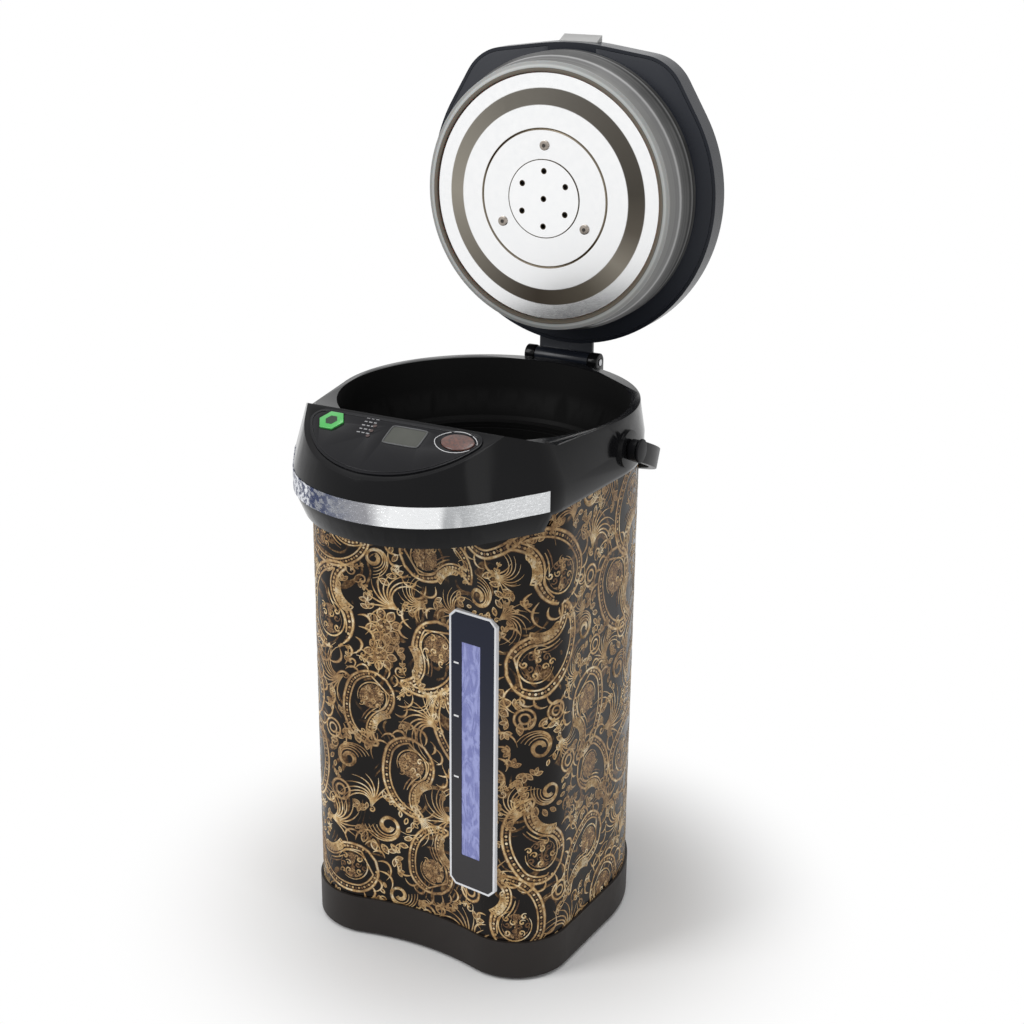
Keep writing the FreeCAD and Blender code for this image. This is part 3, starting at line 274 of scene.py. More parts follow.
# Tank: a drawn cup with a dark non-stick lining, a silicone seal round its flange,
# and the heater pressed against its floor.
tank_lining = Finish("tank_lining", specular_ior_level=0.1)
tank_lining.set(base_color=tank_lining.mix(tank_lining.noise(900, 2), (0.004, 0.004, 0.004),
                                           (0.009, 0.009, 0.009)),
                roughness=tank_lining.noise(120, 3) * 0.12 + 0.34)
tank_lining.bump(tank_lining.noise(1800, 2), 0.2, 0.0001)
paint(tank_lining, "inner_tank")
heater_metal = Finish("heater_metal", metallic=1.0)
heater_metal.set(base_color=heater_metal.mix(heater_metal.noise(60, 3), (0.35, 0.34, 0.33),
                                             (0.55, 0.54, 0.52)),
                 roughness=heater_metal.noise(300, 2) * 0.2 + 0.3)
paint(heater_metal, "heater_plate")
black_seal = moulded("black_seal", (0.002, 0.002, 0.002), (0.005, 0.005, 0.005), 0.5, 1400, 0.1, 0.12)
paint(black_seal, "tank_seal", "mouth_ring")
silicone = Finish("clear_silicone", subsurface_weight=0.1, transmission_weight=0.25, ior=1.41)
silicone.set(base_color=silicone.mix(silicone.noise(80, 2), (0.42, 0.43, 0.43), (0.58, 0.59, 0.58)),
             roughness=silicone.noise(400, 2) * 0.15 + 0.35)
paint(silicone, "pump_hose", "delivery_hose")
tube_glass = Finish("tube_glass", roughness=0.04, transmission_weight=1.0, ior=1.47)
tube_glass.set(base_color=tube_glass.mix(tube_glass.noise(30, 1), (0.86, 0.9, 0.92),
                                         (0.94, 0.96, 0.97)))
paint(tube_glass, "level_tube")


# Sleeve: sheet metal lacquered near-black, then printed with gold scrollwork.
# The print is its own thin layer, drawn flat and wrapped round the body's outline.
sleeve_lacquer = Finish("sleeve_lacquer", specular_ior_level=0.16)
ripple = sleeve_lacquer.maths("FRACT", sleeve_lacquer.noise(17, 1, 0.4, distortion=0.8) * 13)
vein = (ripple - 0.5).size().below(0.13)
patchy = sleeve_lacquer.noise(30, 1, 0.5).step(0.5, 0.55)
black_lacquer = sleeve_lacquer.mix(sleeve_lacquer.noise(9, 3), (0.003, 0.0025, 0.002),
                                   (0.012, 0.009, 0.008))
vein_brown = sleeve_lacquer.ramp(sleeve_lacquer.noise(300, 3, 0.6), [
    (0.35, (0.03, 0.013, 0.005)), (0.5, (0.11, 0.055, 0.02)), (0.65, (0.26, 0.16, 0.07))])
sleeve_lacquer.set(base_color=sleeve_lacquer.mix(vein * patchy, black_lacquer, vein_brown),
                   roughness=sleeve_lacquer.noise(60, 3) * 0.1 + 0.16)
paint(sleeve_lacquer, "outer_sleeve")

BACK_RADIUS, BACK_Y = 106, 15
CORNER_RADIUS, CORNER_X, CORNER_Y = 42, 60, -58
FRONT_RADIUS, FRONT_Y = 187, -279
lean = math.atan2(FRONT_Y - CORNER_Y, -CORNER_X)
side_drop = BACK_Y - CORNER_Y
side_reach = math.hypot(CORNER_X, side_drop)
side_turn = math.atan2(side_drop, -CORNER_X) - math.acos((CORNER_RADIUS - BACK_RADIUS) / side_reach)


def outline_points():
    """The sleeve's outline in mm, from the middle of the back round by the left and the front."""
    half = []
    for index in range(61):
        turn = math.pi / 2 + (side_turn - math.pi / 2) * index / 60
        half.append((BACK_RADIUS * math.cos(turn), BACK_Y + BACK_RADIUS * math.sin(turn)))
    end = lean + 2 * math.pi
    start = side_turn + 2 * math.pi
    for index in range(31):
        turn = start + (end - start) * index / 30
        half.append((CORNER_X + CORNER_RADIUS * math.cos(turn), CORNER_Y + CORNER_RADIUS * math.sin(turn)))
    front_turn = math.atan2(CORNER_Y - FRONT_Y, CORNER_X)
    for index in range(1, 21):
        turn = front_turn + (math.pi / 2 - front_turn) * index / 20
        half.append((FRONT_RADIUS * math.cos(turn), FRONT_Y + FRONT_RADIUS * math.sin(turn)))
    return [(-x, y) for x, y in half] + [(x, y) for x, y in reversed(half[:-1])]


outline = outline_points()
along = [0.0]
for (x1, y1), (x2, y2) in zip(outline, outline[1:]):
    along.append(along[-1] + math.hypot(x2 - x1, y2 - y1))
GIRTH = along[-1]


def on_sleeve(reach, height, lift):
    """A point of the flat print, in mm, wrapped on to the sleeve; reach 0 is mid-front."""
    wanted = (reach + GIRTH / 2) % GIRTH
    low, high = 0, len(along) - 1
    while high - low > 1:
        middle = (low + high) // 2
        if along[middle] <= wanted:
            low = middle
        else:
            high = middle
    part = (wanted - along[low]) / (along[high] - along[low])
    (x1, y1), (x2, y2) = outline[low], outline[high]
    run = math.hypot(x2 - x1, y2 - y1)
    out = ((y2 - y1) / run, -(x2 - x1) / run)
    x = x1 + (x2 - x1) * part + out[0] * lift
    y = y1 + (y2 - y1) * part + out[1] * lift
    return (x / 1000, y / 1000, height / 1000)


class Print:
    """One layer of the print, gathered as flat strips before it is wrapped."""

    def __init__(self, lift):
        self.lift = lift
        self.points = []
        self.faces = []

    def stroke(self, line, width, taper=0.35, closed=False):
        """A line of ink with a width in mm, thinner at its ends."""
        count = len(line)
        first = len(self.points)
        for index, (x, y) in enumerate(line):
            before = line[index - 1] if index or closed else line[0]
            after = line[(index + 1) % count] if index < count - 1 or closed else line[-1]
            dx, dy = after[0] - before[0], after[1] - before[1]
            run = math.hypot(dx, dy) or 1
            swell = 1 if closed else taper + (1 - taper) * math.sin(math.pi * index / (count - 1))
            half = width * swell / 2
            self.points.append((x - dy / run * half, y + dx / run * half))
            self.points.append((x + dy / run * half, y - dx / run * half))
        for index in range(count if closed else count - 1):
            a = first + 2 * index
            b = first + 2 * ((index + 1) % count)
            self.faces.append((a, b, b + 1, a + 1))

    def patch(self, line):
        """A filled shape inside a closed line."""
        first = len(self.points)
        cx = sum(x for x, _ in line) / len(line)
        cy = sum(y for _, y in line) / len(line)
        self.points.append((cx, cy))
        self.points += line
        for index in range(len(line)):
            self.faces.append((first, first + 1 + index, first + 1 + (index + 1) % len(line)))

    def dot(self, x, y, radius, sides=6):
        self.patch([(x + radius * math.cos(math.tau * k / sides),
                     y + radius * math.sin(math.tau * k / sides)) for k in range(sides)])

    def turns(self, face):
        """The face's signed area, which is over zero when its outer side is outwards."""
        corners = [self.points[k] for k in face]
        return sum(a[0] * b[1] - b[0] * a[1] for a, b in zip(corners, corners[1:] + corners[:1]))

    def wrap(self, name, finish, low, high):
        """Wrap the layer round the sleeve, without what would run past its edges."""
        mesh = bpy.data.meshes.new(name)
        kept = [face if self.turns(face) > 0 else face[::-1] for face in self.faces
                if all(low < self.points[k][1] < high for k in face)
                and all(abs(self.points[k][0]) < GIRTH / 2 + 60 for k in face)]
        used = sorted({k for face in kept for k in face})
        place = {k: index for index, k in enumerate(used)}
        mesh.from_pydata([on_sleeve(*self.points[k], self.lift) for k in used], [],
                         [[place[k] for k in face] for face in kept])
        made = bpy.data.objects.new(name, mesh)
        bpy.context.scene.collection.objects.link(made)
        mesh.materials.append(finish.material)
        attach(made, "pot")
        return made


class Motif:
    """A place on the flat print: a centre, a turn, a scale and perhaps a mirror."""

    def __init__(self, x, y, turn, scale, flip):
        self.x, self.y, self.scale, self.flip = x, y, scale, flip
        self.cos, self.sin = math.cos(turn) * scale, math.sin(turn) * scale

    def put(self, line):
        placed = []
        for u, v in line:
            u = -u if self.flip else u
            placed.append((self.x + u * self.cos - v * self.sin, self.y + u * self.sin + v * self.cos))
        return placed


def coil(x, y, outer, inner, turns, start=0.0, steps=44):
    line = []
    for index in range(steps + 1):
        part = index / steps
        radius = outer * (inner / outer) ** part
        turn = start + math.tau * turns * part
        line.append((x + radius * math.cos(turn), y + radius * math.sin(turn)))
    return line


def ring(x, y, radius, steps=28, squeeze=1.0):
    return [(x + radius * math.cos(math.tau * k / steps),
             y + radius * squeeze * math.sin(math.tau * k / steps)) for k in range(steps)]


def teardrop(shrink):
    """The curled drop of a paisley: a round head that narrows along a bend to a hooked tip."""
    left, right = [], []
    steps, length, head = 40, 66.0, 19.0
    x, y = 0.0, -head
    for index in range(steps + 1):
        part = index / steps
        reach = length * part
        heading = 1.45 + 2.9 * max(0.0, part - 0.2) ** 1.5
        if index:
            x += math.cos(heading) * length / steps
            y += math.sin(heading) * length / steps
        if reach < head:
            half = math.sqrt(max(head ** 2 - (head - reach) ** 2, 0))
            half = max(0.0, half - shrink) if reach > shrink else 0.0
        else:
            half = max(0.0, head * (1 - (reach - head) / (length - head)) ** 0.85 - shrink)
        if reach < shrink or (half == 0 and reach > head):
            continue
        left.append((x - math.sin(heading) * half, y + math.cos(heading) * half))
        right.append((x + math.sin(heading) * half, y - math.cos(heading) * half))
    return left + right[::-1]


bright = Print(0.12)
brown = Print(0.08)
grains = Print(0.04)
chance = random.Random(11)


def relief(motif, line, width, taper=0.3, closed=False):
    """A gold line on a broader brown one, as the print shades its scrolls."""
    placed = motif.put(line)
    brown.stroke(placed, width * 1.75 * motif.scale, taper, closed)
    bright.stroke(placed, width * motif.scale, taper, closed)


def rose(motif, x, y, radius):
    """The clustered flower in the heart of a drop: grained ground and short curled petals."""
    s = motif.scale
    grains.patch(motif.put(ring(x, y, radius, 22)))
    for index in range(12):
        turn = index * 2.4
        reach = radius * math.sqrt((index + 0.5) / 12)
        cx, cy = x + reach * math.cos(turn), y + reach * math.sin(turn)
        petal = coil(cx, cy, radius * 0.27, radius * 0.06, 1.1, turn, 14)
        (bright if index % 2 else brown).stroke(motif.put(petal), 1.15 * s, 0.4)


def almond(x, y, turn, length, width):
    """A pointed leaf that starts at (x, y)."""
    line = []
    for side in (1, -1):
        for step in range(8):
            part = step / 8 if side > 0 else 1 - step / 8
            across = side * width / 2 * math.sin(math.pi * part) ** 0.8
            reach = length * part
            line.append((x + reach * math.cos(turn) - across * math.sin(turn),
                         y + reach * math.sin(turn) + across * math.cos(turn)))
    return line


def fronds(motif, stem, first, length, width, sides=(-1, 1)):
    """Grained leaves along a stem, smaller towards its tip."""
    for index in range(first, len(stem) - 1, 2):
        (x1, y1), (x2, y2) = stem[index - 1], stem[index + 1]
        heading = math.atan2(y2 - y1, x2 - x1)
        left_over = 1 - 0.6 * index / len(stem)
        for side in sides:
            leaf = almond(*stem[index], heading + side * 0.75, length * left_over, width * left_over)
            grains.patch(motif.put(leaf))
            bright.stroke(motif.put(leaf), 0.85 * motif.scale, closed=True)


def paisley(motif):
    """A large curled drop: edge lines, a beaded band, a flower in its heart, and plumes."""
    s = motif.scale
    relief(motif, teardrop(0), 1.35, closed=True)
    relief(motif, teardrop(5.0), 0.9, closed=True)
    band = teardrop(2.6)
    for index in range(len(band)):
        x, y = motif.put([band[index]])[0]
        (bright if index % 2 else brown).dot(x, y, 0.9 * s, 7)
    rose(motif, 0.5, -1, 9.4)
    bright.stroke(motif.put(coil(0.5, -1, 11.8, 10.6, 0.8, 2.2, 30)), 1.0 * s)
    bright.stroke(motif.put(teardrop(8.0)[9:20]), 1.0 * s)
    brown.stroke(motif.put(teardrop(10.5)[9:18]), 1.0 * s)
    for index in range(9):
        turn = 3.3 + index * 0.36
        base = (20.5 * math.cos(turn), 20.5 * math.sin(turn))
        line = []
        for step in range(14):
            part = step / 13
            bend = turn + (1.0 if index % 2 else 1.45) * part * part
            reach = part * (13 + 4 * math.sin(index * 1.7))
            line.append((base[0] + reach * math.cos(bend), base[1] + reach * math.sin(bend)))
        relief(motif, line, 1.2, 0.15)
    spine = teardrop(-3.5)[12:34]
    fronds(motif, spine, 1, 8.5, 4.2, (-1,))


def blossom(motif):
    """A round flower: grained petals round a clustered eye."""
    rose(motif, 0, 0, 5.6)
    for index in range(8):
        turn = math.tau * index / 8
        petal = almond(6.2 * math.cos(turn), 6.2 * math.sin(turn), turn, 9.5, 6.8)
        grains.patch(motif.put(petal))
        relief(motif, petal, 0.95, closed=True)
    relief(motif, ring(0, 0, 6.4), 0.9, closed=True)


def eyelet(motif):
    """Two rings, one in the other, with a curl that leaves them."""
    relief(motif, ring(0, 0, 8.8), 1.5, closed=True)
    relief(motif, ring(0, 0, 4.4), 1.3, closed=True)
    relief(motif, coil(13.5, 6, 7.5, 0.9, 1.5, 3.4, 26), 1.2)


def scroll(motif):
    """A leafy scroll: a thick curl of nested lines with a spray of leaves on its back."""
    for index, outer in enumerate((17.5, 14.6, 11.6, 8.6)):
        relief(motif, coil(0, 0, outer, 2 + 0.9 * index, 1.45, 0.4), 1.25)
    fronds(motif, coil(0, 0, 18.4, 13, 0.62, 0.5, 18), 1, 10, 5, (-1,))


def plume(motif):
    """Long strands that leave one root side by side and bend apart."""
    for index in range(9):
        lean_out = (index - 4) * 0.13
        line = []
        for step in range(18):
            part = step / 17
            turn = lean_out * (0.5 + 2.4 * part * part) + 0.8 * part * part - 0.2
            reach = part * (33 - 1.6 * abs(index - 4))
            line.append((reach * math.sin(turn) - 4, reach * math.cos(turn) - 15))
        relief(motif, line, 1.0, 0.25)
    relief(motif, coil(-5, -16.5, 3.8, 0.6, 1.3, 1.0, 16), 1.2)


def tendril(motif):
    """A curl whose stalk carries small leaves, which fills a gap."""
    relief(motif, coil(0, 0, 6.8, 0.8, 1.3, 0.2, 24), 1.25)
    stalk = [(6.8 - 1.7 * k, -0.6 * k - 0.2 * k * k) for k in range(8)]
    relief(motif, stalk, 1.1)
    fronds(motif, stalk, 2, 5.5, 2.8)


def leaf_pair(motif):
    """Three small leaves on one stem, for the smallest gaps."""
    for turn in (0.6, 1.57, 2.54):
        leaf = almond(0, 0, turn, 8.5, 4)
        grains.patch(motif.put(leaf))
        relief(motif, leaf, 0.8, closed=True)


taken = []


def free(x, y, room):
    for other_x, other_y, other_room in taken:
        gap = abs(x - other_x)
        if math.hypot(min(gap, GIRTH - gap), y - other_y) < room + other_room:
            return False
    return True


def sow(draw, room, tries, scales):
    """Scatter one motif wherever it finds room."""
    for _ in range(tries):
        x = chance.uniform(-GIRTH / 2, GIRTH / 2)
        y = chance.uniform(26, 372)
        turn, scale, flip = chance.uniform(0, math.tau), chance.uniform(*scales), chance.random() < 0.5
        if free(x, y, room * scale):
            taken.append((x, y, room * scale))
            draw(Motif(x, y, turn, scale, flip))


for x, y, turn, scale, flip in ((-72, 258, 0.4, 1.2, True), (6, 316, 5.2, 1.05, True),
                                (-104, 128, 5.6, 1.2, False), (-8, 150, 2.6, 1.1, False),
                                (-58, 58, 1.9, 1.1, True), (112, 316, 0.3, 1.2, False),
                                (150, 206, 3.6, 1.15, True), (100, 104, 0.9, 1.2, True)):
    taken.append((x, y, 25 * scale))
    paisley(Motif(x, y, turn, scale, flip))
sow(paisley, 25, 500, (1.0, 1.25))
sow(scroll, 17, 700, (0.85, 1.15))
sow(plume, 12, 900, (0.85, 1.15))
sow(blossom, 11.5, 600, (0.75, 1.05))
sow(eyelet, 9.5, 900, (0.75, 1.0))
sow(plume, 9, 900, (0.6, 0.8))
sow(tendril, 6.2, 4000, (0.7, 1.05))
sow(leaf_pair, 4.0, 6000, (0.55, 0.85))

gold_ink = Finish("gold_ink", specular_ior_level=0.3)
dim = gold_ink.noise(24, 2, 0.5).step(0.42, 0.62)
gilt = gold_ink.ramp(gold_ink.noise(150, 4, 0.7), [
    (0.3, (0.2, 0.095, 0.03)), (0.42, (0.46, 0.27, 0.1)), (0.52, (0.68, 0.48, 0.23)),
    (0.64, (0.86, 0.74, 0.52))])
bronze = gold_ink.ramp(gold_ink.noise(190, 4, 0.7), [
    (0.35, (0.13, 0.065, 0.022)), (0.5, (0.36, 0.21, 0.085)), (0.66, (0.58, 0.41, 0.21))])
gold_ink.set(base_color=gold_ink.mix(dim, gilt, bronze), roughness=gold_ink.noise(300, 2) * 0.2 + 0.3)
gold_ink.bump(gold_ink.noise(1500, 2), 0.3, 0.0002)
brown_ink = Finish("brown_ink", specular_ior_level=0.3)
brown_ink.set(base_color=brown_ink.ramp(brown_ink.noise(260, 4, 0.65), [
    (0.32, (0.03, 0.012, 0.004)), (0.5, (0.13, 0.06, 0.02)), (0.68, (0.34, 0.2, 0.085))]),
    roughness=brown_ink.noise(300, 2) * 0.2 + 0.3)
brown_ink.bump(brown_ink.noise(1500, 2), 0.3, 0.0002)
grained_ink = Finish("grained_ink", specular_ior_level=0.3)
grained_ink.set(base_color=grained_ink.ramp(grained_ink.noise(520, 4, 0.7, distortion=1.5), [
    (0.4, (0.012, 0.008, 0.005)), (0.48, (0.13, 0.06, 0.02)), (0.58, (0.4, 0.24, 0.1)),
    (0.7, (0.6, 0.45, 0.25))]),
    roughness=0.4)
grained_ink.bump(grained_ink.noise(700, 3), 0.4, 0.0003)
PRINT_LOW, PRINT_HIGH = 28.5, 368
bright.wrap("print_bright", gold_ink, PRINT_LOW, PRINT_HIGH)
brown.wrap("print_brown", brown_ink, PRINT_LOW, PRINT_HIGH)
grains.wrap("print_grained", grained_ink, PRINT_LOW, PRINT_HIGH)


# Gauge: a black printed plate with a white border, a lavender window over the level tube,
# and plain bars that mark the level.
GAUGE_TURN = math.radians(-7.5)
GAUGE_HALF_WIDTH, GAUGE_HEIGHT = 0.02, 0.217
gauge_foot = Vector((0.047, -0.098, 0.068))
gauge_print = Finish("gauge_print", roughness=0.2, specular_ior_level=0.2)
across, depth_axis, up = gauge_print.axes()
slide = ((across - gauge_foot.x) * math.cos(GAUGE_TURN)
         + (depth_axis - gauge_foot.y) * math.sin(GAUGE_TURN))
side_edge = GAUGE_HALF_WIDTH - slide.size()
rise = up - gauge_foot.z
top_edge = gauge_print.maths("MINIMUM", rise, GAUGE_HEIGHT - rise)
corner_edge = (side_edge + top_edge - 0.005) * 0.7071
edge = gauge_print.maths("MINIMUM", side_edge, top_edge)
edge = gauge_print.maths("MINIMUM", edge, corner_edge)
border = edge.below(0.0016)
face = gauge_print.mix((0 - up).step(-0.26, -0.1), (0.009, 0.012, 0.028), (0.04, 0.038, 0.04))
gauge_print.set(base_color=gauge_print.mix(border, face, (0.78, 0.79, 0.82)))
gauge_print.bump(gauge_print.noise(500, 2), 0.08, 0.0001)
paint(gauge_print, "gauge_plate")
window_tint = Finish("window_tint", specular_ior_level=0.4)
waves = window_tint.noise(120, 2, 0.55, (1.0, 1.0, 0.32), 2.6).step(0.4, 0.62)
window_tint.set(base_color=window_tint.mix(waves, (0.2, 0.22, 0.5), (0.34, 0.37, 0.7)),
                roughness=window_tint.noise(200, 2) * 0.15 + 0.2)
window_tint.bump(waves, 0.5, 0.0006)
paint(window_tint, "gauge_window")

mark_white = Finish("mark_white", roughness=0.4)
mark_white.set(base_color=mark_white.mix(mark_white.noise(300, 2), (0.72, 0.72, 0.74),
                                         (0.86, 0.86, 0.87)))


def flat_bar(name, length, width, thick, finish):
    """A thin printed bar with rounded corners, lying flat about the origin."""
    bpy.ops.object.select_all(action="DESELECT")
    bpy.ops.mesh.primitive_cube_add(size=1)
    bar = bpy.context.object
    bar.name = name
    bar.scale = (length, width, thick)
    bpy.ops.object.transform_apply(scale=True)
    corners = bar.modifiers.new("corners", "BEVEL")
    corners.width = min(length, width) * 0.35
    corners.segments = 3
    corners.limit_method = "ANGLE"
    bpy.ops.object.modifier_apply(modifier="corners")
    bpy.ops.object.shade_smooth_by_angle(angle=math.radians(40))
    bar.data.materials.append(finish.material)
    return bar


gauge_frame = Matrix.Translation(gauge_foot) @ Matrix.Rotation(GAUGE_TURN, 4, "Z")
for index, height in enumerate((0.088, 0.136, 0.177)):
    mark = flat_bar("level_mark_%d" % index, 0.0042, 0.0013, 0.0002, mark_white)
    mark.data.transform(gauge_frame @ Matrix.Translation((-0.0140, -0.00204, height))
                        @ Matrix.Rotation(math.pi / 2, 4, "X"))
    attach(mark, "pot")


# Head: the large black moulding with the nose, the mouth and the rim.
# Injection moulded with a satin gloss and rounded edges.
WELL_RADIUS, WELL_TOP = 0.1053, 0.4066
head_plastic = Finish("head_plastic", ior=1.46, specular_ior_level=0.14)
head_x, head_y, head_z = head_plastic.axes()
# Painted shade: the wall inside the mouth, below the rim, is painted near black, far darker than the rest of
# the moulding.
mouth_wall_shade = ((head_x ** 2 + head_y ** 2) ** 0.5).below(WELL_RADIUS) * head_z.below(WELL_TOP)
head_black = head_plastic.mix(head_plastic.noise(14, 3, 0.55), (0.0045, 0.0045, 0.005), (0.008, 0.008, 0.009))
head_plastic.set(base_color=head_plastic.mix(mouth_wall_shade, head_black, (0.0006, 0.0006, 0.0006)),
                 roughness=head_plastic.noise(90, 3) * 0.06 + 0.11 + mouth_wall_shade * 0.45)
head_plastic.bump(head_plastic.noise(1500, 2), 0.05, 0.00008)
softened("head_housing", "head_moulding", "pot", head_plastic, 0.0012)


# Band: a bright trim round the nose, stamped with a hammered surface. Its colour holds painted reflections:
# light and dark streaks across it, and dark blue painted at its left end where it faces dark things.
band_metal = Finish("band_metal", metallic=1.0)
dents = band_metal.noise(330, 3, 0.6, (1.0, 1.0, 1.8), 1.2)
band_x, _, _ = band_metal.axes()
streaks = band_metal.noise(30, 2, 0.5, (1.0, 1.0, 0.25))
flecks = band_metal.noise(230, 4, 0.75).step(0.46, 0.54)
# Painted reflection: dark blue over the band's left end, broken by flecks.
left_end = (0 - band_x).step(-0.005, 0.04)
dark_reflection_share = left_end * (1 - flecks)
# Painted reflection: bright and dark streaks set by the place across the band.
tone = band_metal.ramp((band_x + 0.1) * 5.0 + (streaks - 0.5) * 0.3, [
    (0.05, (0.55, 0.56, 0.6)), (0.3, (0.8, 0.82, 0.86)), (0.36, (0.25, 0.26, 0.29)),
    (0.55, (0.3, 0.3, 0.32)), (0.62, (0.88, 0.89, 0.9)), (0.72, (0.85, 0.86, 0.87)),
    (0.74, (0.42, 0.43, 0.44)), (0.95, (0.62, 0.63, 0.64))])
band_metal.set(base_color=band_metal.mix(dark_reflection_share, tone, (0.02, 0.033, 0.1)),
               roughness=dents * 0.25 + 0.14)
band_metal.bump(dents, 0.8, 0.0007)
paint(band_metal, "chrome_band")


# Control panel: a charcoal plate of gloss plastic with a raised bead round it.
# Two keys, a screen and small printed bars lie on it.
panel_gloss = moulded("panel_gloss", (0.007, 0.007, 0.0085), (0.012, 0.012, 0.014), 0.14,
                      1800, 0.04, 0.16)
softened("control_panel", "panel_plate", "pot", panel_gloss, 0.0004)
PANEL_TURN = math.radians(24)
panel_frame = Matrix.Translation((0, -0.111, 0.420)) @ Matrix.Rotation(PANEL_TURN, 4, "X")


def panel_line(inset):
    """The panel's outline, drawn in by some mm, as points on the plate."""
    half, depth, back, corner = 69 - inset, 53 - 2 * inset, -3 - inset, 9
    radius = (half ** 2 + depth ** 2) / (2 * depth)
    centre = back - depth + radius
    start = math.atan2(back - centre, half)
    points = []
    for index in range(61):
        turn = start + (-math.pi - 2 * start) * index / 60
        points.append((radius * math.cos(turn), centre + radius * math.sin(turn)))
    trimmed = [p for p in points if p[1] < back - corner * 0.75]
    left, right = trimmed[-1], trimmed[0]
    return trimmed + [(left[0] + 1.2, back - 2.2), (left[0] + 6.5, back), (0, back),
                      (right[0] - 6.5, back), (right[0] - 1.2, back - 2.2)]


def bead(name, line, radius, lift, finish):
    """A thin round bead of the pot's, along a closed line of mm points on the panel."""
    curve = bpy.data.curves.new(name, "CURVE")
    curve.dimensions = "3D"
    curve.bevel_depth = radius
    curve.bevel_resolution = 2
    spline = curve.splines.new("NURBS")
    spline.points.add(len(line) - 1)
    for point, (x, y) in zip(spline.points, line):
        point.co = (x / 1000, y / 1000, lift, 1)
    spline.use_cyclic_u = True
    spline.order_u = 3
    spline.resolution_u = 4
    made = bpy.data.objects.new(name, curve)
    bpy.context.scene.collection.objects.link(made)
    bpy.ops.object.select_all(action="DESELECT")
    bpy.context.view_layer.objects.active = made
    made.select_set(True)
    bpy.ops.object.convert(target="MESH")
    made = bpy.context.object
    made.data.transform(panel_frame)
    bpy.ops.object.shade_smooth()
    made.data.materials.clear()
    made.data.materials.append(finish.material)
    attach(made, "pot")


bead("panel_bead", panel_line(2.2), 0.00045, 0.0008, panel_gloss)

green_enamel = Finish("green_enamel", coat_weight=0.4, coat_roughness=0.1)
green_enamel.set(base_color=green_enamel.mix(green_enamel.noise(120, 2), (0.035, 0.36, 0.06),
                                             (0.06, 0.46, 0.085)), roughness=0.3)
softened("green_button", "green_key", "green_key", green_enamel, 0.0007)
key_dark = moulded("key_dark", (0.008, 0.02, 0.01), (0.012, 0.03, 0.015), 0.3)
bpy.ops.object.select_all(action="DESELECT")
bpy.ops.mesh.primitive_cylinder_add(vertices=6, radius=0.0046, depth=0.0006, location=(0, 0, 0))
eye = bpy.context.object
eye.name = "green_key_eye"
eye_edges = eye.modifiers.new("edges", "BEVEL")
eye_edges.width = 0.0002
eye_edges.segments = 2
bpy.ops.object.modifier_apply(modifier="edges")
eye.data.transform(panel_frame @ Matrix.Translation((-0.048, -0.014, 0.00165))
                   @ Matrix.Rotation(math.radians(30), 4, "Z"))
eye.data.materials.append(key_dark.material)
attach(eye, "green_key")

red_cap = Finish("red_cap", coat_weight=0.5, coat_roughness=0.12)
red_cap.set(base_color=red_cap.ramp(red_cap.noise(520, 4, 0.7), [
    (0.35, (0.025, 0.009, 0.006)), (0.55, (0.09, 0.024, 0.014)), (0.7, (0.16, 0.046, 0.024))]),
    roughness=0.3)
red_cap.bump(red_cap.noise(600, 3), 0.35, 0.0003)
softened("dispense_button", "dispense_key_cap", "dispense_key", red_cap, 0.0009)
leaf = [(49 + 15.5 * math.cos(a) - 1.5, -14 + 10.2 * math.sin(a) * abs(math.sin(a)) ** 0.25)
        for a in [math.tau * k / 28 for k in range(28)]]
bead("key_leaf", leaf, 0.00022, 0.0009, mark_white)

screen_face = Finish("screen_face", specular_ior_level=0.3, roughness=0.12)
screen_face.set(base_color=screen_face.mix(screen_face.noise(50, 2), (0.05, 0.053, 0.045),
                                           (0.085, 0.088, 0.076)))
paint(screen_face, "lcd_window")
bezel = [(11 + 13.5 * a, -17 + 8.5 * b) for a, b in
         ((-1, -0.85), (-0.9, -1), (0, -1), (0.9, -1), (1, -0.85), (1, 0), (1, 0.85), (0.9, 1), (0, 1),
          (-0.9, 1), (-1, 0.85), (-1, 0))]
bezel_grey = moulded("bezel_grey", (0.05, 0.052, 0.054), (0.08, 0.082, 0.084), 0.3)
bead("screen_bezel", bezel, 0.0006, 0.0008, bezel_grey)
bar_grey = moulded("bar_grey", (0.22, 0.22, 0.23), (0.34, 0.34, 0.35), 0.35)
for row in range(5):
    for column in range(3):
        bar = flat_bar("panel_bar_%d_%d" % (row, column), 0.0026 - 0.0004 * ((row + column) % 2), 0.0009,
                       0.00024, bar_grey)
        bar.data.transform(panel_frame @ Matrix.Translation(
            (-0.0235 + 0.0036 * column, -0.0055 - 0.0036 * row, 0.0009)))
        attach(bar, "pot")
lamp_glow = Finish("lamp_glow", roughness=0.2)
lamp_glow.set(base_color=lamp_glow.mix(lamp_glow.noise(800, 1), (0.05, 0.03, 0.028), (0.08, 0.045, 0.04)))
paint(lamp_glow, "indicator_lamps")


# Hinge and bail: black mouldings at the back and the sides, turned on steel pins.
# The bail hangs behind the pot.
softened("hinge_bracket", "hinge_block", "pot", head_plastic, 0.0010)
bail_plastic = moulded("bail_plastic", (0.005, 0.005, 0.006), (0.009, 0.009, 0.01), 0.3,
                       1500, 0.06, 0.06)
softened("bail_handle", "bail_grip", "handle", bail_plastic, 0.0018, segments=4)
softened("bail_studs", "bail_caps", "pot", bail_plastic, 0.0008)


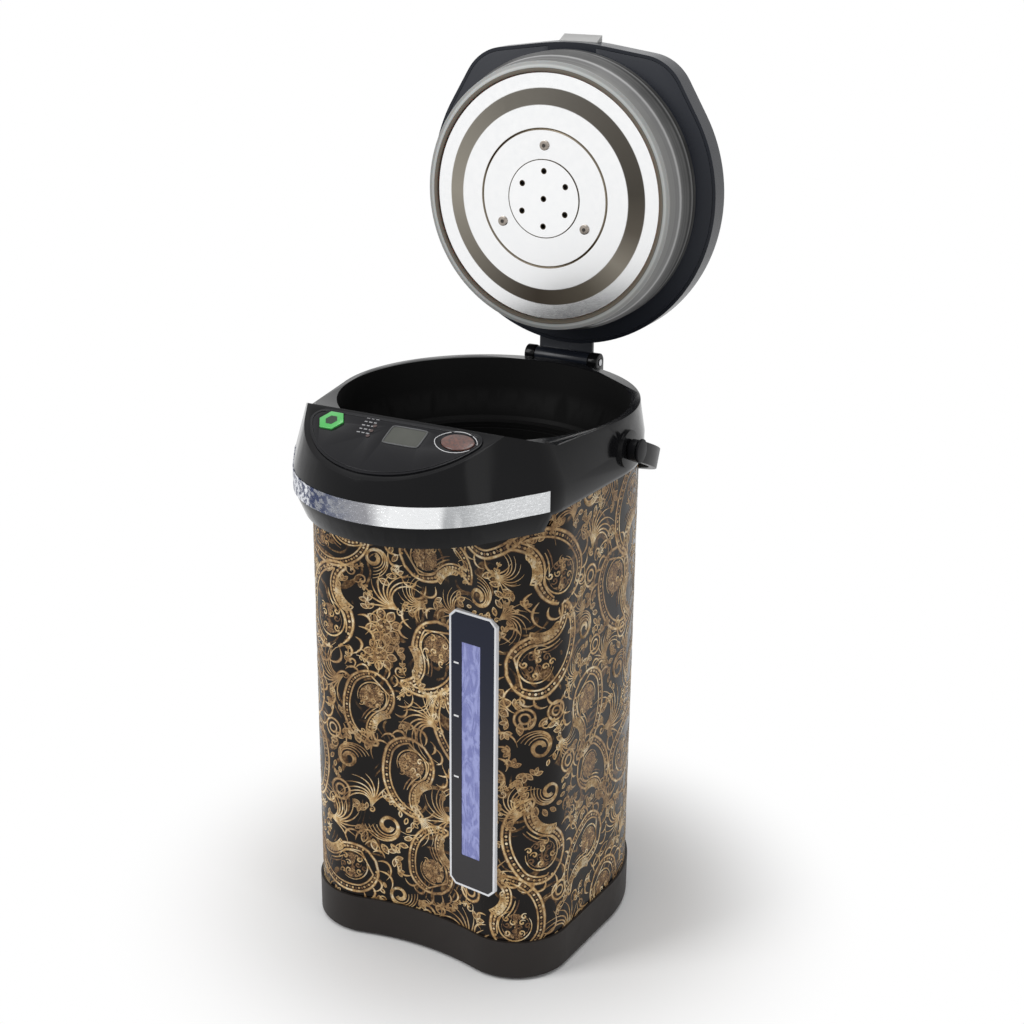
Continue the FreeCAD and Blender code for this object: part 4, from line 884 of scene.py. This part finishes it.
# Lid: a dark shell outside, a grey plug inside it, and a polished steel plate
# that faces the water, held by three screws round a vent. A silicone ring seals it.
lid_gloss = moulded("lid_gloss", (0.010, 0.012, 0.018), (0.016, 0.019, 0.027), 0.26, 1500, 0.08, 0.3)
softened("lid_shell", "lid_cover", "lid", lid_gloss, 0.0014, level=True)
softened("lid_knuckle", "lid_hinge_arm", "lid", lid_gloss, 0.0008)
paint(lid_gloss, "steam_vent_cap")

PLATE_MIDDLE = Vector((0, 0.093, 0.534))


def disc_radius(finish):
    """Distance from the plate's axis."""
    x, _, z = finish.axes()
    return ((x - PLATE_MIDDLE.x) ** 2 + (z - PLATE_MIDDLE.z) ** 2) ** 0.5


plug_grey = Finish("plug_grey", ior=1.45, specular_ior_level=0.4)
plug_reach = disc_radius(plug_grey)
_, plug_y, _ = plug_grey.axes()
flange = plug_grey.maths("MAXIMUM", plug_reach.above(0.1036), plug_y.above(0.1296))
around = plug_grey.node("ShaderNodeCombineXYZ", (plug_reach, plug_y, 0.0))
brushed = plug_grey.node("ShaderNodeTexNoise", {"Vector": around, "Scale": 480.0, "Detail": 3.0,
                                                "Roughness": 0.7})
CUP_FRONT, CUP_DEPTH = 0.092, 0.04
# Painted shade and painted highlights: the cup is painted light at its front and darker towards the lid
# shell, with thin light rings as painted highlights.
rings = plug_grey.ramp((plug_y - CUP_FRONT) / CUP_DEPTH, [
    (0.0, (0.62, 0.62, 0.61)), (0.06, (0.26, 0.255, 0.25)), (0.2, (0.2, 0.2, 0.195)),
    (0.36, (0.15, 0.15, 0.15)), (0.4, (0.5, 0.5, 0.5)), (0.44, (0.07, 0.07, 0.07)),
    (0.72, (0.035, 0.035, 0.035)), (0.78, (0.26, 0.26, 0.26)), (0.82, (0.02, 0.02, 0.02))])
lines = brushed.step(0.3, 0.7)
slow = plug_grey.noise(14, 2, 0.5).step(0.4, 0.62)
cup_tone_and_shade = plug_grey.mix(lines * 0.4, rings, plug_grey.mix(slow, (0.03, 0.03, 0.03),
                                                           (0.26, 0.26, 0.255)))
plug_grey.set(base_color=plug_grey.mix(flange, cup_tone_and_shade, plug_grey.mix(
    plug_grey.noise(14, 3), (0.010, 0.012, 0.018), (0.016, 0.019, 0.027))),
    metallic=(1 - flange) * 0.3,
    roughness=brushed * 0.2 + 0.34)
plug_grey.bump(brushed * (1 - flange), 0.2, 0.0002)
softened("lid_plug", "lid_plug_cup", "lid", plug_grey, 0.0008)

plate_steel = Finish("plate_steel", specular_ior_level=0.4)
reach = disc_radius(plate_steel)
RING_INNER, RING_OUTER, GROOVE_RADIUS = 0.0675, 0.0795, 0.0506
# Painted reflection: the sloped ring is painted dark bronze, lighter and darker by its angle round the plate,
# with less metal in it.
dark_ring = (reach - RING_INNER).step(-0.0004, 0.0004) * (RING_OUTER - reach).step(-0.0004, 0.0004)
# Painted shade: a thin dark line along the groove.
groove_shade = (reach - GROOVE_RADIUS).size().below(0.0009)
spun = plate_steel.noise(260, 2)
plate_x, _, plate_z = plate_steel.axes()
turned = plate_steel.maths("ARCTAN2", plate_z - PLATE_MIDDLE.z, plate_x) / math.tau + 0.5
ring_painted_reflection = plate_steel.ramp(turned, [
    (0.0, (0.28, 0.255, 0.21)), (0.1, (0.2, 0.18, 0.145)), (0.24, (0.07, 0.055, 0.04)),
    (0.33, (0.13, 0.112, 0.085)), (0.4, (0.31, 0.28, 0.23)), (0.46, (0.1, 0.085, 0.065)),
    (0.52, (0.045, 0.038, 0.028)), (0.7, (0.07, 0.062, 0.05)), (0.82, (0.1, 0.09, 0.072)),
    (0.9, (0.18, 0.165, 0.135)), (1.0, (0.28, 0.255, 0.21))])
bright_steel = plate_steel.mix(spun, (0.86, 0.87, 0.88), (0.93, 0.93, 0.93))
steel_with_painted_reflection = plate_steel.mix(dark_ring, bright_steel, ring_painted_reflection)
plate_steel.set(base_color=plate_steel.mix(groove_shade, steel_with_painted_reflection, (0.2, 0.17, 0.13)),
                metallic=1 - dark_ring * 0.8, roughness=spun * 0.08 + dark_ring * 0.3 + 0.2)
paint(plate_steel, "lid_plate")

VENT_CIRCLE = 0.0203
disc_steel = Finish("disc_steel", metallic=1.0)
disc_reach = disc_radius(disc_steel)
disc_x, _, disc_z = disc_steel.axes()
hole_reach = disc_reach
for index in range(6):
    turn = math.radians(90 + 60 * index)
    hole_reach = disc_steel.maths("MINIMUM", hole_reach, (
        (disc_x - VENT_CIRCLE * math.cos(turn)) ** 2
        + (disc_z - (PLATE_MIDDLE.z + VENT_CIRCLE * math.sin(turn))) ** 2) ** 0.5)
# Painted shade: dark rings round the six vent holes and round the disc's rim.
hole_and_rim_shade = disc_steel.maths("MAXIMUM", hole_reach.below(0.0023), disc_reach.above(0.0283))
clean_steel = disc_steel.mix(disc_steel.noise(200, 2), (0.88, 0.89, 0.9), (0.95, 0.95, 0.95))
disc_steel.set(base_color=disc_steel.mix(hole_and_rim_shade, clean_steel, (0.06, 0.045, 0.03)),
               roughness=disc_steel.noise(300, 2) * 0.08 + 0.2)
paint(disc_steel, "vent_disc")

screw_steel = Finish("screw_steel", metallic=1.0)
screw_steel.set(base_color=screw_steel.mix(screw_steel.noise(300, 2), (0.17, 0.14, 0.115),
                                           (0.42, 0.38, 0.34)),
                roughness=screw_steel.noise(500, 2) * 0.15 + 0.2)
softened("plate_screws", "plate_screw_set", "lid", screw_steel, 0.0005)
# Painted shade: a dark hexagon laid on each screw head stands for the shade in its socket.
socket_painted_shade = moulded("socket_painted_shade", (0.02, 0.016, 0.012), (0.03, 0.025, 0.02), 0.4)
screw_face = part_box("plate_screws")[0].y
SCREW_CIRCLE = 0.0388
for index, angle in enumerate((90, 210, 330)):
    bpy.ops.object.select_all(action="DESELECT")
    bpy.ops.mesh.primitive_cylinder_add(vertices=6, radius=0.0015, depth=0.0004, location=(0, 0, 0))
    socket = bpy.context.object
    socket.name = "screw_socket_%d" % index
    bpy.ops.object.mode_set(mode="EDIT")
    bpy.ops.mesh.select_all(action="SELECT")
    bpy.ops.mesh.bevel(offset=0.0001, segments=1)
    bpy.ops.object.mode_set(mode="OBJECT")
    turn = math.radians(angle)
    socket.data.transform(Matrix.Translation((SCREW_CIRCLE * math.cos(turn), screw_face - 0.0001,
                                              PLATE_MIDDLE.z + SCREW_CIRCLE * math.sin(turn)))
                          @ Matrix.Rotation(math.pi / 2, 4, "X"))
    socket.data.materials.append(socket_painted_shade.material)
    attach(socket, "lid")

GASKET_INNER, GASKET_WIDTH = 0.0905, 0.006
gasket_silicone = Finish("gasket_silicone", specular_ior_level=0.4, subsurface_weight=0.1)
gasket_reach = disc_radius(gasket_silicone)
gasket_silicone.set(base_color=gasket_silicone.ramp((gasket_reach - GASKET_INNER) / GASKET_WIDTH, [
    (0.0, (0.06, 0.048, 0.034)), (0.42, (0.15, 0.128, 0.1)), (0.5, (0.05, 0.043, 0.035)),
    (0.56, (0.36, 0.36, 0.35)), (0.8, (0.5, 0.5, 0.49)), (1.0, (0.3, 0.3, 0.295))]),
    roughness=gasket_silicone.noise(400, 2) * 0.15 + 0.28)
paint(gasket_silicone, "lid_gasket")


# Latch: a small silver-grey lever at the lid's front edge, on a pin of its own.
# Its outer edge stands a little over the lid, for a finger.
TAB_TOP, TAB_BACK, TAB_RISE = 0.6395, 0.147, 0.004
latch_grey = moulded("latch_grey", (0.34, 0.34, 0.335), (0.42, 0.42, 0.415), 0.34, 900, 0.1)
latch_tab = softened("latch_lever", "latch_tab", "latch", latch_grey, 0.0006)
for vertex in latch_tab.data.vertices:
    if vertex.co.z > TAB_TOP and vertex.co.y > TAB_BACK:
        vertex.co.z += TAB_RISE


# Studio: a plain pale floor that fades into the white background, and three soft lamps.
# The world is white to the eye and in reflections, and dimmer as a light.
bpy.ops.object.select_all(action="DESELECT")
bpy.ops.mesh.primitive_plane_add(size=80, location=(0, 0, 0))
floor = bpy.context.object
floor.name = "floor"
floor_paint = Finish("floor_paint", base_color=(0.95, 0.95, 0.95), roughness=0.8, specular_ior_level=0.1)
floor_x, floor_y, _ = floor_paint.axes()
away = ((floor_x ** 2 + floor_y ** 2) ** 0.5).step(0.14, 0.3)
glow = floor_paint.node("ShaderNodeEmission", {"Color": (1, 1, 1, 1), "Strength": 1.0})
camera_ray, glossy_ray = (floor_paint.node("ShaderNodeLightPath", output=ray)
                          for ray in ("Is Camera Ray", "Is Glossy Ray"))
seen = floor_paint.maths("MAXIMUM", camera_ray, glossy_ray)
blended = floor_paint.node("ShaderNodeMixShader", {0: away * seen, 2: glow})
floor_paint.tree.links.new(floor_paint.shader.outputs[0], blended.socket.node.inputs[1])
floor_paint.tree.links.new(blended.socket, floor_paint.tree.nodes["Material Output"].inputs["Surface"])
floor.data.materials.append(floor_paint.material)

world = bpy.data.worlds.new("studio")
bpy.context.scene.world = world
world.use_nodes = True
sky_nodes = world.node_tree.nodes
sky_links = world.node_tree.links
plain = sky_nodes["Background"]
plain.inputs["Color"].default_value = (1, 1, 1, 1)
plain.inputs["Strength"].default_value = 0.42
white = sky_nodes.new("ShaderNodeBackground")
white.inputs["Color"].default_value = (1, 1, 1, 1)
white.inputs["Strength"].default_value = 1.0
paths = sky_nodes.new("ShaderNodeLightPath")
any_of = paths.outputs["Is Camera Ray"]
for ray in ("Is Transmission Ray", "Is Glossy Ray"):
    either = sky_nodes.new("ShaderNodeMath")
    either.operation = "MAXIMUM"
    sky_links.new(any_of, either.inputs[0])
    sky_links.new(paths.outputs[ray], either.inputs[1])
    any_of = either.outputs[0]
blend_sky = sky_nodes.new("ShaderNodeMixShader")
sky_links.new(any_of, blend_sky.inputs["Fac"])
sky_links.new(plain.outputs[0], blend_sky.inputs[1])
sky_links.new(white.outputs[0], blend_sky.inputs[2])
sky_links.new(blend_sky.outputs[0], sky_nodes["World Output"].inputs["Surface"])

for name, place, target, power, width, height in (
        ("key_lamp", (-1.2, -1.5, 1.6), (0, 0, 0.3), 22, 0.8, 1.4),
        ("fill_lamp", (1.9, -0.7, 0.9), (0, 0, 0.25), 4.5, 0.7, 1.6),
        ("top_lamp", (0.0, -0.1, 2.2), (0, 0, 0.4), 14, 1.2, 1.2)):
    lamp_data = bpy.data.lights.new(name, "AREA")
    lamp_data.shape = "RECTANGLE"
    lamp_data.size = width
    lamp_data.size_y = height
    lamp_data.energy = power
    lamp = bpy.data.objects.new(name, lamp_data)
    lamp.location = place
    lamp.rotation_euler = (Vector(target) - Vector(place)).to_track_quat("-Z", "Y").to_euler()
    bpy.context.scene.collection.objects.link(lamp)
